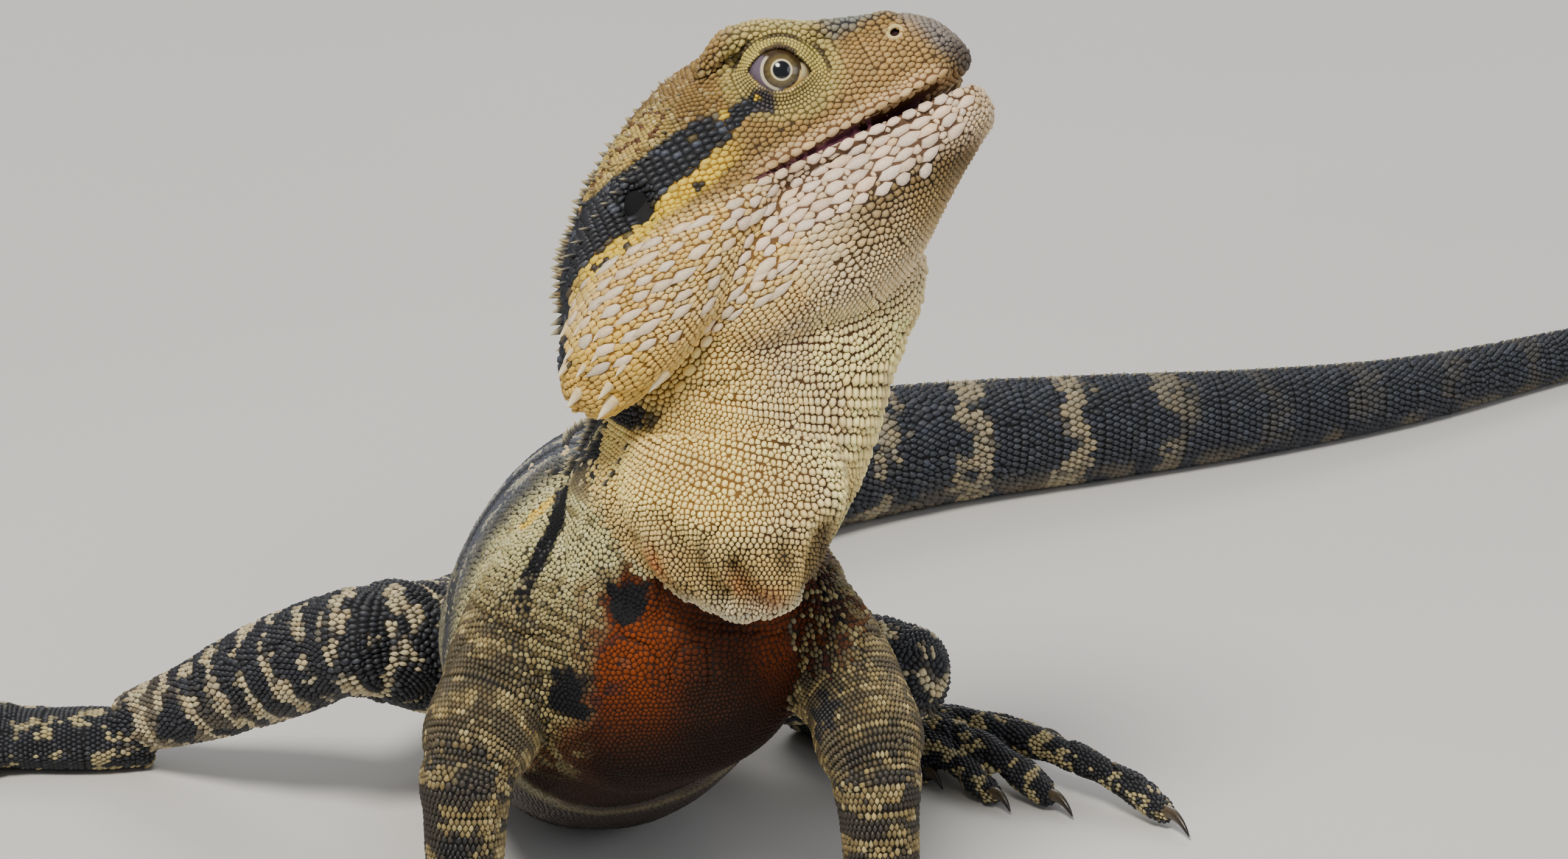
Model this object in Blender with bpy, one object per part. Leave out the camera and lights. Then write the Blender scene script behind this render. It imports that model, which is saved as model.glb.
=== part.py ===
"""An adult male eastern water dragon at life size, as a still museum model.

It sits up on its forelegs with its belly and hind feet on the floor. Its head is raised and turned to its
left, its throat is let down, and its tail curves round to its left. It faces -Y, and +Z is up.

Every table is in millimetres. MM turns them into Blender's metres, in one place, when a mesh is made.
"""

import math

import bmesh
import bpy
import numpy as np
from mathutils import Matrix, Vector
from mathutils.bvhtree import BVHTree

MM = 0.001
GAP = 0.3  # clearance between nodes that touch
FLOOR = 0.0
CUT_SHARES = (0.5, 1.25)  # a neighbour is cut out twice, swollen by these shares of the gap
SHARPEST = 0.4  # cosine that limits how far a sharp edge moves out when a shape is swollen
FAR = 80.0  # further out than any surface, for finding it from outside

# Head. Its own frame has its origin between the ear drums: ahead to the snout, to its right, and up.
HEAD_ORIGIN = Vector((-20.2, 17.1, 125.9))
HEAD_HEADING = math.radians(-3.7)  # from +X, so the head looks to the animal's left
HEAD_PITCH = math.radians(30.8)
HEAD_ROLL = math.radians(30.3)  # the right cheek is turned up
EYE_CENTRE = (32.3, 10.6, 8.0)
EYE_RADIUS = 5.6
LID_THICKNESS = 0.95
LID_OPENING = (4.7, 3.5)  # half length and half height
EAR_CENTRE = (2.2, 19.4, -0.5)
EAR_RADIUS = 4.4
EAR_DEPTH = 1.4
NOSTRIL_CENTRE = (52.0, 8.2, 4.4)
NOSTRIL_RADIUS = 1.0
MOUTH_LINE = -6.4  # height of the upper lip
LID_STRETCH = 1.12  # how much longer the eye's bulge is than high
NOSTRIL_RIM = (0.7, 0.75)  # how far the rim's middle lies outside the hole, and its thickness
EAR_RIM = (0.9, 0.9)
LIP_REACH = (21.0, 58.5)  # where the ridge of the upper lip starts and ends, ahead
LIP_INSET = {"upper": 0.7, "lower": 0.6}  # how far a lip's ridge lies inside the cheek
LIP_RADIUS = {"upper": 1.3, "lower": 1.2}
LIP_OFF_EDGE = {"upper": 1.4, "lower": 1.3}  # from the edge of the mouth to the middle of the lip's ridge

# ahead, height of the centre, half width, reach up, reach down, squareness above and below
SKULL = [
    (60.5, -2.8, 1.6, 1.6, 1.2, 2.0, 2.0),
    (59.4, -1.6, 4.6, 4.0, 3.6, 2.2, 2.4),
    (56.8, -0.4, 7.2, 6.4, 5.4, 2.3, 3.0),
    (52.0, 0.0, 9.0, 9.2, 6.4, 2.4, 3.4),
    (46.0, 0.0, 10.8, 11.4, 6.4, 2.4, 3.6),
    (40.0, 0.0, 12.2, 13.4, 6.4, 2.4, 3.6),
    (34.0, 0.0, 13.2, 16.2, 6.4, 2.4, 3.6),
    (28.0, 0.0, 14.4, 18.2, 6.4, 2.3, 3.6),
    (21.0, 0.0, 16.6, 18.8, 6.6, 2.2, 3.4),
    (14.0, -1.0, 18.6, 19.0, 8.5, 2.1, 3.0),
    (6.0, -3.0, 19.6, 18.4, 11.0, 2.0, 2.6),
    (-2.0, -5.0, 19.6, 16.4, 14.0, 1.9, 2.4),
    (-10.0, -8.0, 18.6, 13.2, 14.0, 1.9, 2.2),
    (-16.0, -11.0, 16.0, 9.8, 12.0, 1.9, 2.0),
    (-20.5, -15.5, 11.0, 4.6, 7.0, 2.0, 2.0),
]
LOWER_JAW = [
    (59.5, -11.4, 1.8, 1.8, 1.8, 2.0, 2.0),
    (58.6, -11.6, 4.4, 3.0, 3.2, 2.4, 2.0),
    (55.5, -12.2, 7.2, 3.9, 4.4, 3.0, 2.0),
    (50.0, -13.2, 9.3, 5.2, 6.3, 3.2, 2.0),
    (44.0, -14.4, 11.0, 6.8, 8.8, 3.2, 2.0),
    (36.0, -16.0, 13.0, 9.0, 12.3, 3.2, 2.0),
    (28.0, -17.5, 15.0, 11.0, 14.0, 3.2, 2.0),
    (18.0, -19.0, 16.8, 12.0, 13.6, 3.0, 2.0),
    (8.0, -20.5, 17.4, 11.4, 12.4, 2.6, 2.0),
    (1.0, -22.5, 14.0, 7.6, 8.8, 2.2, 2.0),
]
# ahead, out to the side, height, half width, reach up, reach down
JOWL = [
    (24.0, 15.0, -7.4, 1.6, 1.6, 1.6),
    (17.0, 15.6, -9.0, 4.6, 5.0, 4.8),
    (7.0, 16.4, -11.6, 7.4, 9.0, 9.0),
    (-5.0, 16.6, -14.6, 8.0, 10.6, 11.4),
    (-15.0, 15.8, -17.4, 7.2, 9.2, 10.2),
    (-21.5, 14.6, -20.0, 4.6, 5.8, 6.4),
    (-24.5, 13.6, -21.4, 1.4, 1.8, 1.8),
]
BROW = [
    (53.5, 5.4, 7.6, 1.0, 1.0, 1.0),
    (47.0, 7.4, 9.3, 1.5, 1.5, 1.5),
    (40.0, 9.4, 12.2, 1.8, 1.8, 1.8),
    (34.0, 11.4, 15.6, 2.0, 2.0, 2.0),
    (28.0, 12.6, 16.6, 2.0, 2.0, 2.0),
    (21.0, 12.8, 14.6, 1.2, 1.2, 1.2),
]

# Body. x, y, z of the centre, half width, reach up, reach down, squareness above and below, and how far the
# back leans to the right, in degrees
TORSO = [
    (-15.0, -14.5, 58.0, 8.0, 7.0, 9.0, 2.0, 2.0, 0.0),
    (-15.6, -11.0, 58.0, 16.5, 13.0, 16.0, 2.0, 2.2, 5.0),
    (-17.5, -4.0, 57.5, 22.5, 19.5, 21.5, 1.9, 2.3, 10.0),
    (-20.5, 5.0, 56.5, 25.5, 26.0, 24.5, 1.8, 2.3, 14.0),
    (-23.5, 17.0, 54.0, 28.0, 30.5, 28.0, 1.7, 2.3, 13.0),
    (-24.5, 34.0, 48.5, 28.0, 32.5, 32.0, 1.6, 2.3, 8.0),
    (-22.5, 56.0, 40.5, 27.0, 34.5, 34.6, 1.55, 2.3, 2.0),
    (-19.5, 77.0, 33.5, 26.5, 31.5, 35.4, 1.55, 2.3, 0.0),
    (-17.5, 96.0, 27.5, 23.5, 27.5, 29.6, 1.6, 2.2, 0.0),
    (-16.0, 113.0, 24.0, 19.5, 23.5, 24.4, 1.65, 2.1, 0.0),
    (-14.5, 130.0, 21.5, 16.5, 20.5, 21.0, 1.7, 2.1, 0.0),
]
TAIL = [
    (-14.5, 130.0, 21.5, 16.5, 20.5, 21.0),
    (-11.0, 147.0, 20.2, 14.6, 19.2, 19.6),
    (-2.0, 165.0, 18.2, 13.0, 16.8, 17.2),
    (13.5, 184.0, 15.4, 11.8, 14.8, 15.4),
    (37.0, 201.0, 13.2, 10.6, 13.2, 13.4),
    (66.0, 213.0, 11.6, 9.3, 11.6, 11.8),
    (100.0, 221.0, 10.0, 7.8, 10.0, 10.2),
    (132.0, 229.0, 8.2, 6.3, 8.2, 8.4),
    (163.0, 240.0, 6.5, 5.0, 6.5, 6.7),
    (196.0, 257.0, 5.1, 4.0, 5.1, 5.3),
    (237.0, 277.0, 4.2, 3.3, 4.2, 4.4),
    (286.0, 289.0, 3.5, 2.8, 3.5, 3.7),
    (336.0, 286.0, 2.9, 2.4, 2.9, 3.1),
    (382.0, 269.0, 2.4, 2.0, 2.4, 2.6),
    (422.0, 243.0, 1.9, 1.6, 1.9, 2.1),
    (454.0, 211.0, 1.4, 1.2, 1.4, 1.6),
    (470.0, 186.0, 0.8, 0.7, 0.8, 0.9),
]
TAIL_LENGTHS = 7
# x, y, z, half width, reach to the nape, reach to the throat, and the nape's turn from -X to +Y in degrees
NECK = [
    (3.0, 14.6, 131.6, 12.0, 22.0, 25.5, 8.0),
    (0.0, 13.4, 126.0, 15.0, 25.2, 28.2, 8.0),
    (-4.6, 11.8, 118.4, 16.8, 26.0, 28.8, 6.0),
    (-6.6, 9.0, 108.0, 18.0, 24.4, 27.8, 6.0),
    (-7.6, 6.4, 98.6, 18.6, 21.6, 25.0, 10.0),
    (-10.4, 5.0, 88.8, 19.0, 20.6, 23.6, 18.0),
    (-13.8, 5.4, 79.3, 20.0, 21.6, 22.0, 30.0),
    (-17.0, 7.6, 69.4, 21.5, 22.0, 20.0, 45.0),
    (-19.0, 11.0, 59.0, 19.0, 18.0, 17.0, 60.0),
]
POUCH_ACROSS = Vector((0.985, -0.174, 0.0))
POUCH_HANG = Vector((0.0, 0.42, 0.9))
POUCH_SQUARENESS = 2.2
# x, y, z, half width along the throat, half thickness
POUCH = [
    (-9.4, -3.5, 95.0, 18.0, 11.5),
    (-9.8, -7.0, 90.0, 19.0, 12.5),
    (-10.4, -11.2, 85.4, 18.2, 11.8),
    (-10.8, -15.2, 80.0, 15.6, 10.4),
    (-10.4, -18.2, 75.6, 12.6, 8.6),
    (-9.9, -20.3, 71.6, 7.6, 5.6),
    (-9.6, -21.4, 69.6, 2.0, 1.8),
]

# Legs. x, y, z of the centre, radius across, radius up
UPPER_ARM = {
    "right": [
        (-34, 14, 66, 12, 13), (-41, 8, 59, 11.5, 12.5), (-48.5, -1, 50.5, 9.8, 10.6),
        (-54, -8, 43, 8.0, 8.4), (-56, -11, 39, 4.0, 4.0),
    ],
    "left": [
        (-2, 13, 64, 12, 13), (3, 5, 59, 10.8, 12.2), (10.4, -8, 50, 8.7, 9.8),
        (12, -19, 42.5, 7.8, 8.0), (12.5, -22.5, 39, 4.0, 4.0),
    ],
}
FOREARM = {
    "right": [
        (-54, -8, 48, 4.0, 4.0), (-54.5, -9, 43, 7.4, 7.4), (-55, -10, 34, 6.9, 6.8),
        (-55.5, -11, 22, 6.2, 5.6), (-56, -12, 11, 5.6, 4.4), (-56, -13.5, 5.5, 5.6, 3.6),
    ],
    "left": [
        (12, -18, 48, 4.0, 4.0), (12, -19, 42.5, 7.2, 7.4), (12.2, -21, 34, 6.6, 6.8),
        (12.6, -23, 22, 6.1, 5.6), (13, -24, 11, 5.6, 4.4), (13.2, -25.5, 5.5, 5.6, 3.6),
    ],
}
THIGH = {
    "right": [
        (-24, 107, 22, 12, 12), (-32, 102, 22.5, 12.8, 12.8), (-43, 90.5, 25, 12.0, 12.0),
        (-52, 80, 30, 10.6, 10.8), (-58.5, 73.5, 33.6, 8.6, 9.0), (-61.5, 71.5, 34, 4.5, 4.8),
    ],
    "left": [
        (-12, 108, 20, 12, 12), (-3, 101, 20, 12.6, 12.6), (10, 88, 20.5, 11.6, 11.8),
        (23, 75, 22.5, 9.6, 9.8), (33.5, 66.5, 23.6, 7.4, 7.6), (36, 64, 23.6, 4.0, 4.0),
    ],
}
SHANK = {
    "right": [
        (-55, 71.5, 34.5, 4.5, 4.8), (-58.5, 73, 33.9, 8.2, 8.6), (-64.9, 79, 31, 8.6, 9.0),
        (-71.4, 84.6, 26.3, 9.0, 9.2), (-78.9, 91, 20.9, 8.4, 8.6), (-88, 99.4, 13.8, 6.6, 7.0),
        (-95.5, 106, 9.2, 5.6, 5.6), (-99, 108, 7.8, 5.2, 4.6),
    ],
    "left": [
        (37.5, 63.5, 24, 4.0, 4.0), (35.5, 66.5, 23.6, 7.2, 7.4), (32, 77, 19.5, 8.0, 8.2),
        (28.5, 88.5, 13.5, 6.6, 7.0), (25, 98, 9.0, 5.6, 5.4), (24, 101, 7.5, 5.2, 4.6),
    ],
}
# Feet. The wrist or ankle on the floor, and the heading of the foot from +X in degrees
HAND_PLACE = {"right": (-56.0, -13.0, -112.0), "left": (13.2, -25.0, -66.0)}
FOOT_PLACE = {"right": (-98.5, 107.5, 168.0), "left": (24.0, 101.0, -46.5)}
# Toes: each is a route in the foot's frame (along, to the outer side, height), whose last point is the
# claw's tip, with the toe's radius at its root and at its pad.
HAND_TOES = [
    ([(3, -3, 4.4), (8, -6, 3.6), (14, -9.5, 1.6), (18.5, -11.5, 0.5)], 2.6, 1.9),
    ([(4, -2, 4.8), (12, -4.5, 4.0), (21, -7.5, 1.6), (26.5, -9.5, 0.5)], 2.8, 1.9),
    ([(5, 0, 5.0), (14, -0.5, 4.6), (21, -1.0, 3.2), (27, -1.2, 1.6), (32.5, -1.6, 0.5)], 2.9, 1.9),
    ([(4, 2, 4.8), (13, 4.5, 4.4), (20, 6.5, 3.2), (26, 8.4, 1.6), (31.5, 10.0, 0.5)], 2.9, 1.9),
    ([(3, 3, 4.4), (9, 8.0, 3.6), (15, 12.0, 1.6), (19.5, 15.2, 0.5)], 2.6, 1.9),
]
FOOT_TOES = [
    ([(12, -3, 5.4), (21, -6, 4.4), (29, -8.2, 1.8), (34, -9.6, 0.5)], 2.9, 2.1),
    ([(16, -2, 6.0), (28, -4.5, 5.8), (37, -7, 4.0), (44, -9, 1.8), (49.5, -11, 0.5)], 3.1, 2.1),
    ([(20, 0, 6.4), (32, -1.5, 7.0), (43, -3, 5.6), (53, -4.6, 2.3), (59.5, -6.4, 0.5)], 3.3, 2.2),
    (
        [(20, 2, 6.6), (34, 3.4, 7.6), (48, 3.8, 7.2), (62, 2.6, 5.6), (74, 0.6, 2.6), (81, -2.0, 0.5)],
        3.4, 2.2,
    ),
    ([(8, 3, 5.4), (20, 8, 5.0), (29, 13, 4.0), (35, 17, 2.2), (39.5, 20.5, 0.5)], 3.0, 2.1),
]
# Palm and sole: along, height, half width, half thickness
PALM = [(-4.0, 4.2, 4.6, 4.4), (1.0, 4.3, 6.4, 5.0), (6.0, 4.0, 6.8, 4.6), (11.0, 3.6, 5.0, 3.8)]
SOLE = [
    (-5.0, 4.4, 4.2, 4.6), (3.0, 4.8, 6.6, 5.4), (13.0, 4.6, 7.2, 5.2),
    (22.0, 4.4, 6.6, 4.8), (28.0, 4.0, 4.4, 4.0),
]

# Crest. Share of the way along the nape, the neck, the whole back or the whole tail, and the height there
NAPE_CREST = [(0.0, 1.0), (0.35, 1.8), (0.7, 2.4), (1.0, 2.6)]
NECK_CREST = [(0.0, 2.6), (0.5, 2.4), (1.0, 2.2)]
BACK_CREST = [(0.3, 2.2), (0.5, 1.6), (1.0, 1.7)]
TAIL_CREST = [(0.0, 1.6), (0.2, 1.3), (0.4, 0.9)]
BACK_CREST_REACH = (0.3, 0.985)  # where the crest starts and ends along the back
TAIL_CREST_REACH = [(0.03, 0.125), (0.162, 0.27), (0.304, 0.385)]  # the same for the tail's first lengths
BACK_CREST_ROWS = 44
TAIL_CREST_ROWS = 110
TAIL_ROWS = 57
# The crest's spines point out from a line inside the head. Ahead and up, at its front and its rear
NAPE_CREST_LINE = ((13.0, -4.0), (-9.0, -12.0))
NAPE_CREST_SPINES = 13
NECK_CREST_ROWS = 30
NECK_CREST_SPAN = (9, 24)  # the first row with a spine, and the row after the last
# The spines of a jowl, ahead and up, on the side that the face's side points to
JOWL_SPINES = [(-19, -12), (-21, -17), (-22, -22), (-18, -26), (-15, -18), (-12, -12), (-11, -27)]
JOWL_SPINE_HEIGHT = 2.6
JOWL_SPINE_OUT = (13.0, 19.0)  # how far to the side a spine's line starts, and a point that it passes
JOWL_SPINE_START = (9.0, 3.0)  # how far ahead of that point, and above it, the line starts
# The row of spines over an ear: ahead, out to the side and up, at its front and its rear
TEMPLE_LINE = ((12.0, 6.0, 2.0), (-10.0, 6.0, -6.0))
TEMPLE_SPINES = 5
TEMPLE_HEIGHTS = [(0.0, 1.2), (1.0, 2.0)]
SPINE_SLENDER = (0.42, 0.5)  # half length of a spine's base: a share of its height, and a fixed part
SPINE_THIN = (0.20, 0.35)  # half width of a spine's base, in the same way
SPINE_LEAN = 0.55  # how far a spine's tip leans back for its height
SPINE_SUNK = 1.3  # how far a spine's root reaches below the skin

# A toe's tip past its pad, as shares of the pad's radius, and its claw's sizes from root to tip
TOE_TIP = (0.8, 0.62)
CLAW_SIZES = ((1.3, 1.4, 1.4), (0.85, 1.0, 1.0), (0.18, 0.25, 0.2))
CLAW_ARCH = 1.3  # how far a claw's middle stands above the line from root to tip

# How finely each shape is made: points round a ring, and rings along it
SIDES = {
    "head": 24, "jowl": 12, "ridge": 6, "jaw": 18, "body": 24, "neck": 20,
    "pouch": 20, "leg": 12, "sole": 10, "toe": 6, "claw": 5, "tail": 10,
}
ROWS = {
    "head": 23, "jowl": 10, "brow": 9, "lip": 10, "jaw": 13, "neck": 16, "pouch": 12, "torso": 26,
    "arm": 11, "forearm": 11, "thigh": 11, "shank": 12, "sole": 7, "claw": 3,
}

COLOURS = {
    "olive": (0.36, 0.30, 0.17),
    "cream": (0.62, 0.52, 0.32),
    "rust": (0.30, 0.08, 0.03),
    "banded": (0.16, 0.15, 0.12),
    "eye": (0.03, 0.03, 0.035),
    "drum": (0.12, 0.12, 0.13),
}
SKIN_ROUGHNESS = 0.55
EYE_ROUGHNESS = 0.08


def clear_scene():
    for obj in list(bpy.data.objects):
        bpy.data.objects.remove(obj, do_unlink=True)


def material(name):
    found = bpy.data.materials.get(name)
    if found:
        return found
    made = bpy.data.materials.new(name)
    made.use_nodes = True
    shader = made.node_tree.nodes["Principled BSDF"]
    shader.inputs["Base Color"].default_value = (*COLOURS[name], 1.0)
    shader.inputs["Roughness"].default_value = EYE_ROUGHNESS if name == "eye" else SKIN_ROUGHNESS
    shader.inputs["Metallic"].default_value = 0.0
    return made


def head_axes():
    """Ahead, to the right and up, as unit vectors."""
    turn = (
        Matrix.Rotation(HEAD_HEADING, 3, "Z")
        @ Matrix.Rotation(-HEAD_PITCH, 3, "Y")
        @ Matrix.Rotation(-HEAD_ROLL, 3, "X")
    )
    return turn @ Vector((1, 0, 0)), turn @ Vector((0, -1, 0)), turn @ Vector((0, 0, 1))


AHEAD, RIGHTWARD, UPWARD = head_axes()


def head_point(ahead, right, up):
    return HEAD_ORIGIN + AHEAD * ahead + RIGHTWARD * right + UPWARD * up


def smooth_rows(rows, count):
    """Evenly spaced rows along the smooth curve through these, whose first three columns are a place."""
    rows = np.array(rows, float)
    steps = np.maximum(np.linalg.norm(np.diff(rows[:, :3], axis=0), axis=1), 1e-6)
    knots = np.concatenate([[0.0], np.cumsum(steps)])
    slopes = np.diff(rows, axis=0) / steps[:, None]
    tangents = np.empty_like(rows)
    tangents[0], tangents[-1] = slopes[0], slopes[-1]
    before, after = steps[:-1, None], steps[1:, None]
    tangents[1:-1] = (slopes[:-1] * after + slopes[1:] * before) / (before + after)
    at = np.linspace(0.0, knots[-1], count)
    span = np.clip(np.searchsorted(knots, at, side="right") - 1, 0, len(steps) - 1)
    t = ((at - knots[span]) / steps[span])[:, None]
    step = steps[span][:, None]
    return (
        (2 * t**3 - 3 * t**2 + 1) * rows[span]
        + (t**3 - 2 * t**2 + t) * step * tangents[span]
        + (3 * t**2 - 2 * t**3) * rows[span + 1]
        + (t**3 - t**2) * step * tangents[span + 1]
    )


def superellipse(angle, across, along, power):
    c, s = math.cos(angle), math.sin(angle)
    return (
        across * math.copysign(abs(s) ** (2 / power), s),
        along * math.copysign(abs(c) ** (2 / power), c),
    )


def tube_rings(rows, ups, sides, axis=None):
    """Rings of points round a path, square to it, or square to the axis where there is one.

    A row is x, y, z, half width, reach up, reach down, and perhaps the squareness above and below.
    ups is one vector, or one for each row.
    """
    places = [Vector(row[:3]) for row in rows]
    rings = []
    for i, row in enumerate(rows):
        along = axis or (places[min(i + 1, len(rows) - 1)] - places[max(i - 1, 0)]).normalized()
        up = ups[i] if isinstance(ups, list) else ups
        across = along.cross(up).normalized()
        up = across.cross(along)
        upper_power, lower_power = (row[6], row[7]) if len(row) > 7 else (2.0, 2.0)
        ring = []
        for k in range(sides):
            angle = 2 * math.pi * k / sides
            above = math.cos(angle) > 0
            reach, power = (row[4], upper_power) if above else (row[5], lower_power)
            x, y = superellipse(angle, row[3], reach, power)
            ring.append(places[i] + across * x + up * y)
        rings.append(ring)
    return rings


def mesh_object(name, points, faces, colour="olive"):
    mesh = bpy.data.meshes.new(name)
    mesh.from_pydata([tuple(Vector(p) * MM) for p in points], [], faces)
    mesh.materials.append(material(colour))
    obj = bpy.data.objects.new(name, mesh)
    bpy.context.scene.collection.objects.link(obj)
    face_outwards(obj)
    return obj


def face_outwards(obj):
    shape = bmesh.new()
    shape.from_mesh(obj.data)
    bmesh.ops.recalc_face_normals(shape, faces=shape.faces)
    if shape.calc_volume(signed=True) < 0:
        bmesh.ops.reverse_faces(shape, faces=shape.faces)
    shape.to_mesh(obj.data)
    shape.free()


def rings_object(name, rings, colour="olive"):
    """A closed tube through the rings, with a fan of triangles at each end."""
    sides = len(rings[0])
    points = [p for ring in rings for p in ring]
    faces = []
    for i in range(len(rings) - 1):
        for k in range(sides):
            a, b = i * sides + k, i * sides + (k + 1) % sides
            faces.append((a, b, b + sides, a + sides))
    for ring, start in ((rings[0], 0), (rings[-1], (len(rings) - 1) * sides)):
        points.append(sum(ring, Vector()) / sides)
        centre = len(points) - 1
        faces += [(start + k, start + (k + 1) % sides, centre) for k in range(sides)]
    return mesh_object(name, points, faces, colour)


def tube(name, rows, count, sides, up=Vector((0, 0, 1)), colour="olive", axis=None):
    return rings_object(name, tube_rings(smooth_rows(rows, count), up, sides, axis), colour)


def boolean(obj, others, operation, solver="EXACT"):
    """Joins the others to obj, or cuts them from it, and removes them."""
    group = bpy.data.collections.new(obj.name + "_others")
    bpy.context.scene.collection.children.link(group)
    for other in others:
        for owner in list(other.users_collection):
            owner.objects.unlink(other)
        group.objects.link(other)
    step = obj.modifiers.new("join", "BOOLEAN")
    step.operation = operation
    step.operand_type = "COLLECTION"
    step.collection = group
    step.solver = solver
    with bpy.context.temp_override(object=obj, active_object=obj, selected_objects=[obj]):
        bpy.ops.object.modifier_apply(modifier=step.name)
    for other in others:
        bpy.data.objects.remove(other, do_unlink=True)
    bpy.data.collections.remove(group)
    return obj


def join(obj, others, solver="MANIFOLD"):
    return boolean(obj, others, "UNION", solver) if others else obj


def swollen(obj, by):
    """A copy whose surface stands out by this many millimetres, also beside its sharp edges."""
    made = bpy.data.objects.new(obj.name + "_swollen", obj.data.copy())
    bpy.context.scene.collection.objects.link(made)
    shape = bmesh.new()
    shape.from_mesh(made.data)
    moves = []
    for vertex in shape.verts:
        slant = min(vertex.normal.dot(face.normal) for face in vertex.link_faces)
        moves.append(vertex.normal * by * MM / max(slant, SHARPEST))
    for vertex, move in zip(shape.verts, moves):
        vertex.co += move
    shape.to_mesh(made.data)
    shape.free()
    return made


def cut_clear(obj, neighbours):
    """Cuts the neighbours from obj with the gap that touching nodes keep."""
    for neighbour in neighbours:
        for share in CUT_SHARES:
            boolean(obj, [swollen(neighbour, GAP * share)], "DIFFERENCE", "MANIFOLD")
    return obj


def keep_largest(obj):
    """Leaves only the closed surface that holds most, and drops loose scraps."""
    shape = bmesh.new()
    shape.from_mesh(obj.data)
    left, shells = set(shape.faces), []
    while left:
        front = [left.pop()]
        shell = list(front)
        while front:
            face = front.pop()
            for edge in face.edges:
                for other in edge.link_faces:
                    if other in left:
                        left.remove(other)
                        front.append(other)
                        shell.append(other)
        shells.append(shell)
    if len(shells) > 1:
        def volume(shell):
            total = 0.0
            for face in shell:
                first = face.verts[0].co
                for a, b in zip(face.verts[1:-1], face.verts[2:]):
                    total += first.dot(a.co.cross(b.co))
            return abs(total)
        best = max(shells, key=volume)
        loose = [f for shell in shells if shell is not best for f in shell]
        bmesh.ops.delete(shape, geom=loose, context="FACES")
    shape.to_mesh(obj.data)
    shape.free()
    return obj


def rest_on_floor(obj):
    """Presses what would reach through the floor into a flat at floor level."""
    for vertex in obj.data.vertices:
        vertex.co.z = max(vertex.co.z, FLOOR)
    return obj


def sample(table, share):
    """The value at this share of the way, from (share, value) pairs."""
    return float(np.interp(share, [row[0] for row in table], [row[1] for row in table]))


def spine(place, out, along, height):
    """A three-sided spine whose root is sunk below the skin and whose tip leans back along the body."""
    out, along = out.normalized(), along.normalized()
    across = out.cross(along).normalized()
    root = place - out * SPINE_SUNK
    half_long = height * SPINE_SLENDER[0] + SPINE_SLENDER[1]
    half_wide = height * SPINE_THIN[0] + SPINE_THIN[1]
    base = [root - along * half_long, root + along * half_long + across * half_wide,
            root + along * half_long - across * half_wide]
    tip = place + out * height + along * height * SPINE_LEAN
    return mesh_object("spine", [*base, tip], [(0, 1, 3), (1, 2, 3), (2, 0, 3), (2, 1, 0)])


def surface_of(obj):
    shape = bmesh.new()
    shape.from_mesh(obj.data)
    tree = BVHTree.FromBMesh(shape)
    shape.free()
    return tree


def spine_on(tree, start, out, along, height):
    """A list of one spine, where the line out from this start leaves the surface, or an empty list."""
    out = out.normalized()
    far = start + out * FAR
    hit = tree.ray_cast(far * MM, -out)[0]
    return [] if hit is None else [spine(hit / MM, out, along, height)]


def spines_on(obj, starts, outs, heights):
    """A row of spines along these starts."""
    tree = surface_of(obj)
    made = []
    for i, (start, out) in enumerate(zip(starts, outs)):
        along = starts[min(i + 1, len(starts) - 1)] - starts[max(i - 1, 0)]
        made += spine_on(tree, start, out, along, heights[i])
    return made


def clear_of(spines, neighbours):
    """The spines that keep the gap from every neighbour. The others are removed."""
    trees = []
    for neighbour in neighbours:
        grown = swollen(neighbour, GAP)
        trees.append(surface_of(grown))
        bpy.data.objects.remove(grown, do_unlink=True)
    kept = []
    for piece in spines:
        own = surface_of(piece)
        touches = any(tree.overlap(own) for tree in trees)
        for vertex in piece.data.vertices:
            for tree in trees:
                place, normal, _, _ = tree.find_nearest(vertex.co)
                touches = touches or (vertex.co - place).dot(normal) < 0.0
        if touches:
            bpy.data.objects.remove(piece, do_unlink=True)
        else:
            kept.append(piece)
    return kept


def ellipsoid(name, centre, axes, radii, segments=16, rings=10, colour="eye"):
    """A ball stretched along three axes."""
    shape = bmesh.new()
    bmesh.ops.create_uvsphere(shape, u_segments=segments, v_segments=rings, radius=1.0)
    points = []
    for vertex in shape.verts:
        points.append(centre + sum((a * r * c for a, r, c in zip(axes, radii, vertex.co)), Vector()))
    faces = [[v.index for v in f.verts] for f in shape.faces]
    shape.free()
    return mesh_object(name, points, faces, colour)


def ring_shape(name, centre, axes, radius, thickness, segments=16, sides=6):
    """A torus round the third axis."""
    rings = []
    for i in range(segments):
        turn = 2 * math.pi * i / segments
        outward = axes[0] * math.cos(turn) + axes[1] * math.sin(turn)
        middle = centre + outward * radius
        ring = []
        for k in range(sides):
            angle = 2 * math.pi * k / sides
            ring.append(middle + (outward * math.cos(angle) + axes[2] * math.sin(angle)) * thickness)
        rings.append(ring)
    points = [p for ring in rings for p in ring]
    faces = []
    for i in range(segments):
        for k in range(sides):
            a, b = i * sides + k, i * sides + (k + 1) % sides
            c, d = (i + 1) % segments * sides + (k + 1) % sides, (i + 1) % segments * sides + k
            faces.append((a, b, c, d))
    return mesh_object(name, points, faces)


def head_rows(table):
    """Rows in space from a table in the head's frame."""
    rows = []
    for ahead, height, *sizes in table:
        rows.append((*head_point(ahead, 0.0, height), *sizes))
    return rows


def side_rows(table, side):
    rows = []
    for ahead, out, height, *sizes in table:
        rows.append((*head_point(ahead, out * side, height), *sizes))
    return rows


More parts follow.
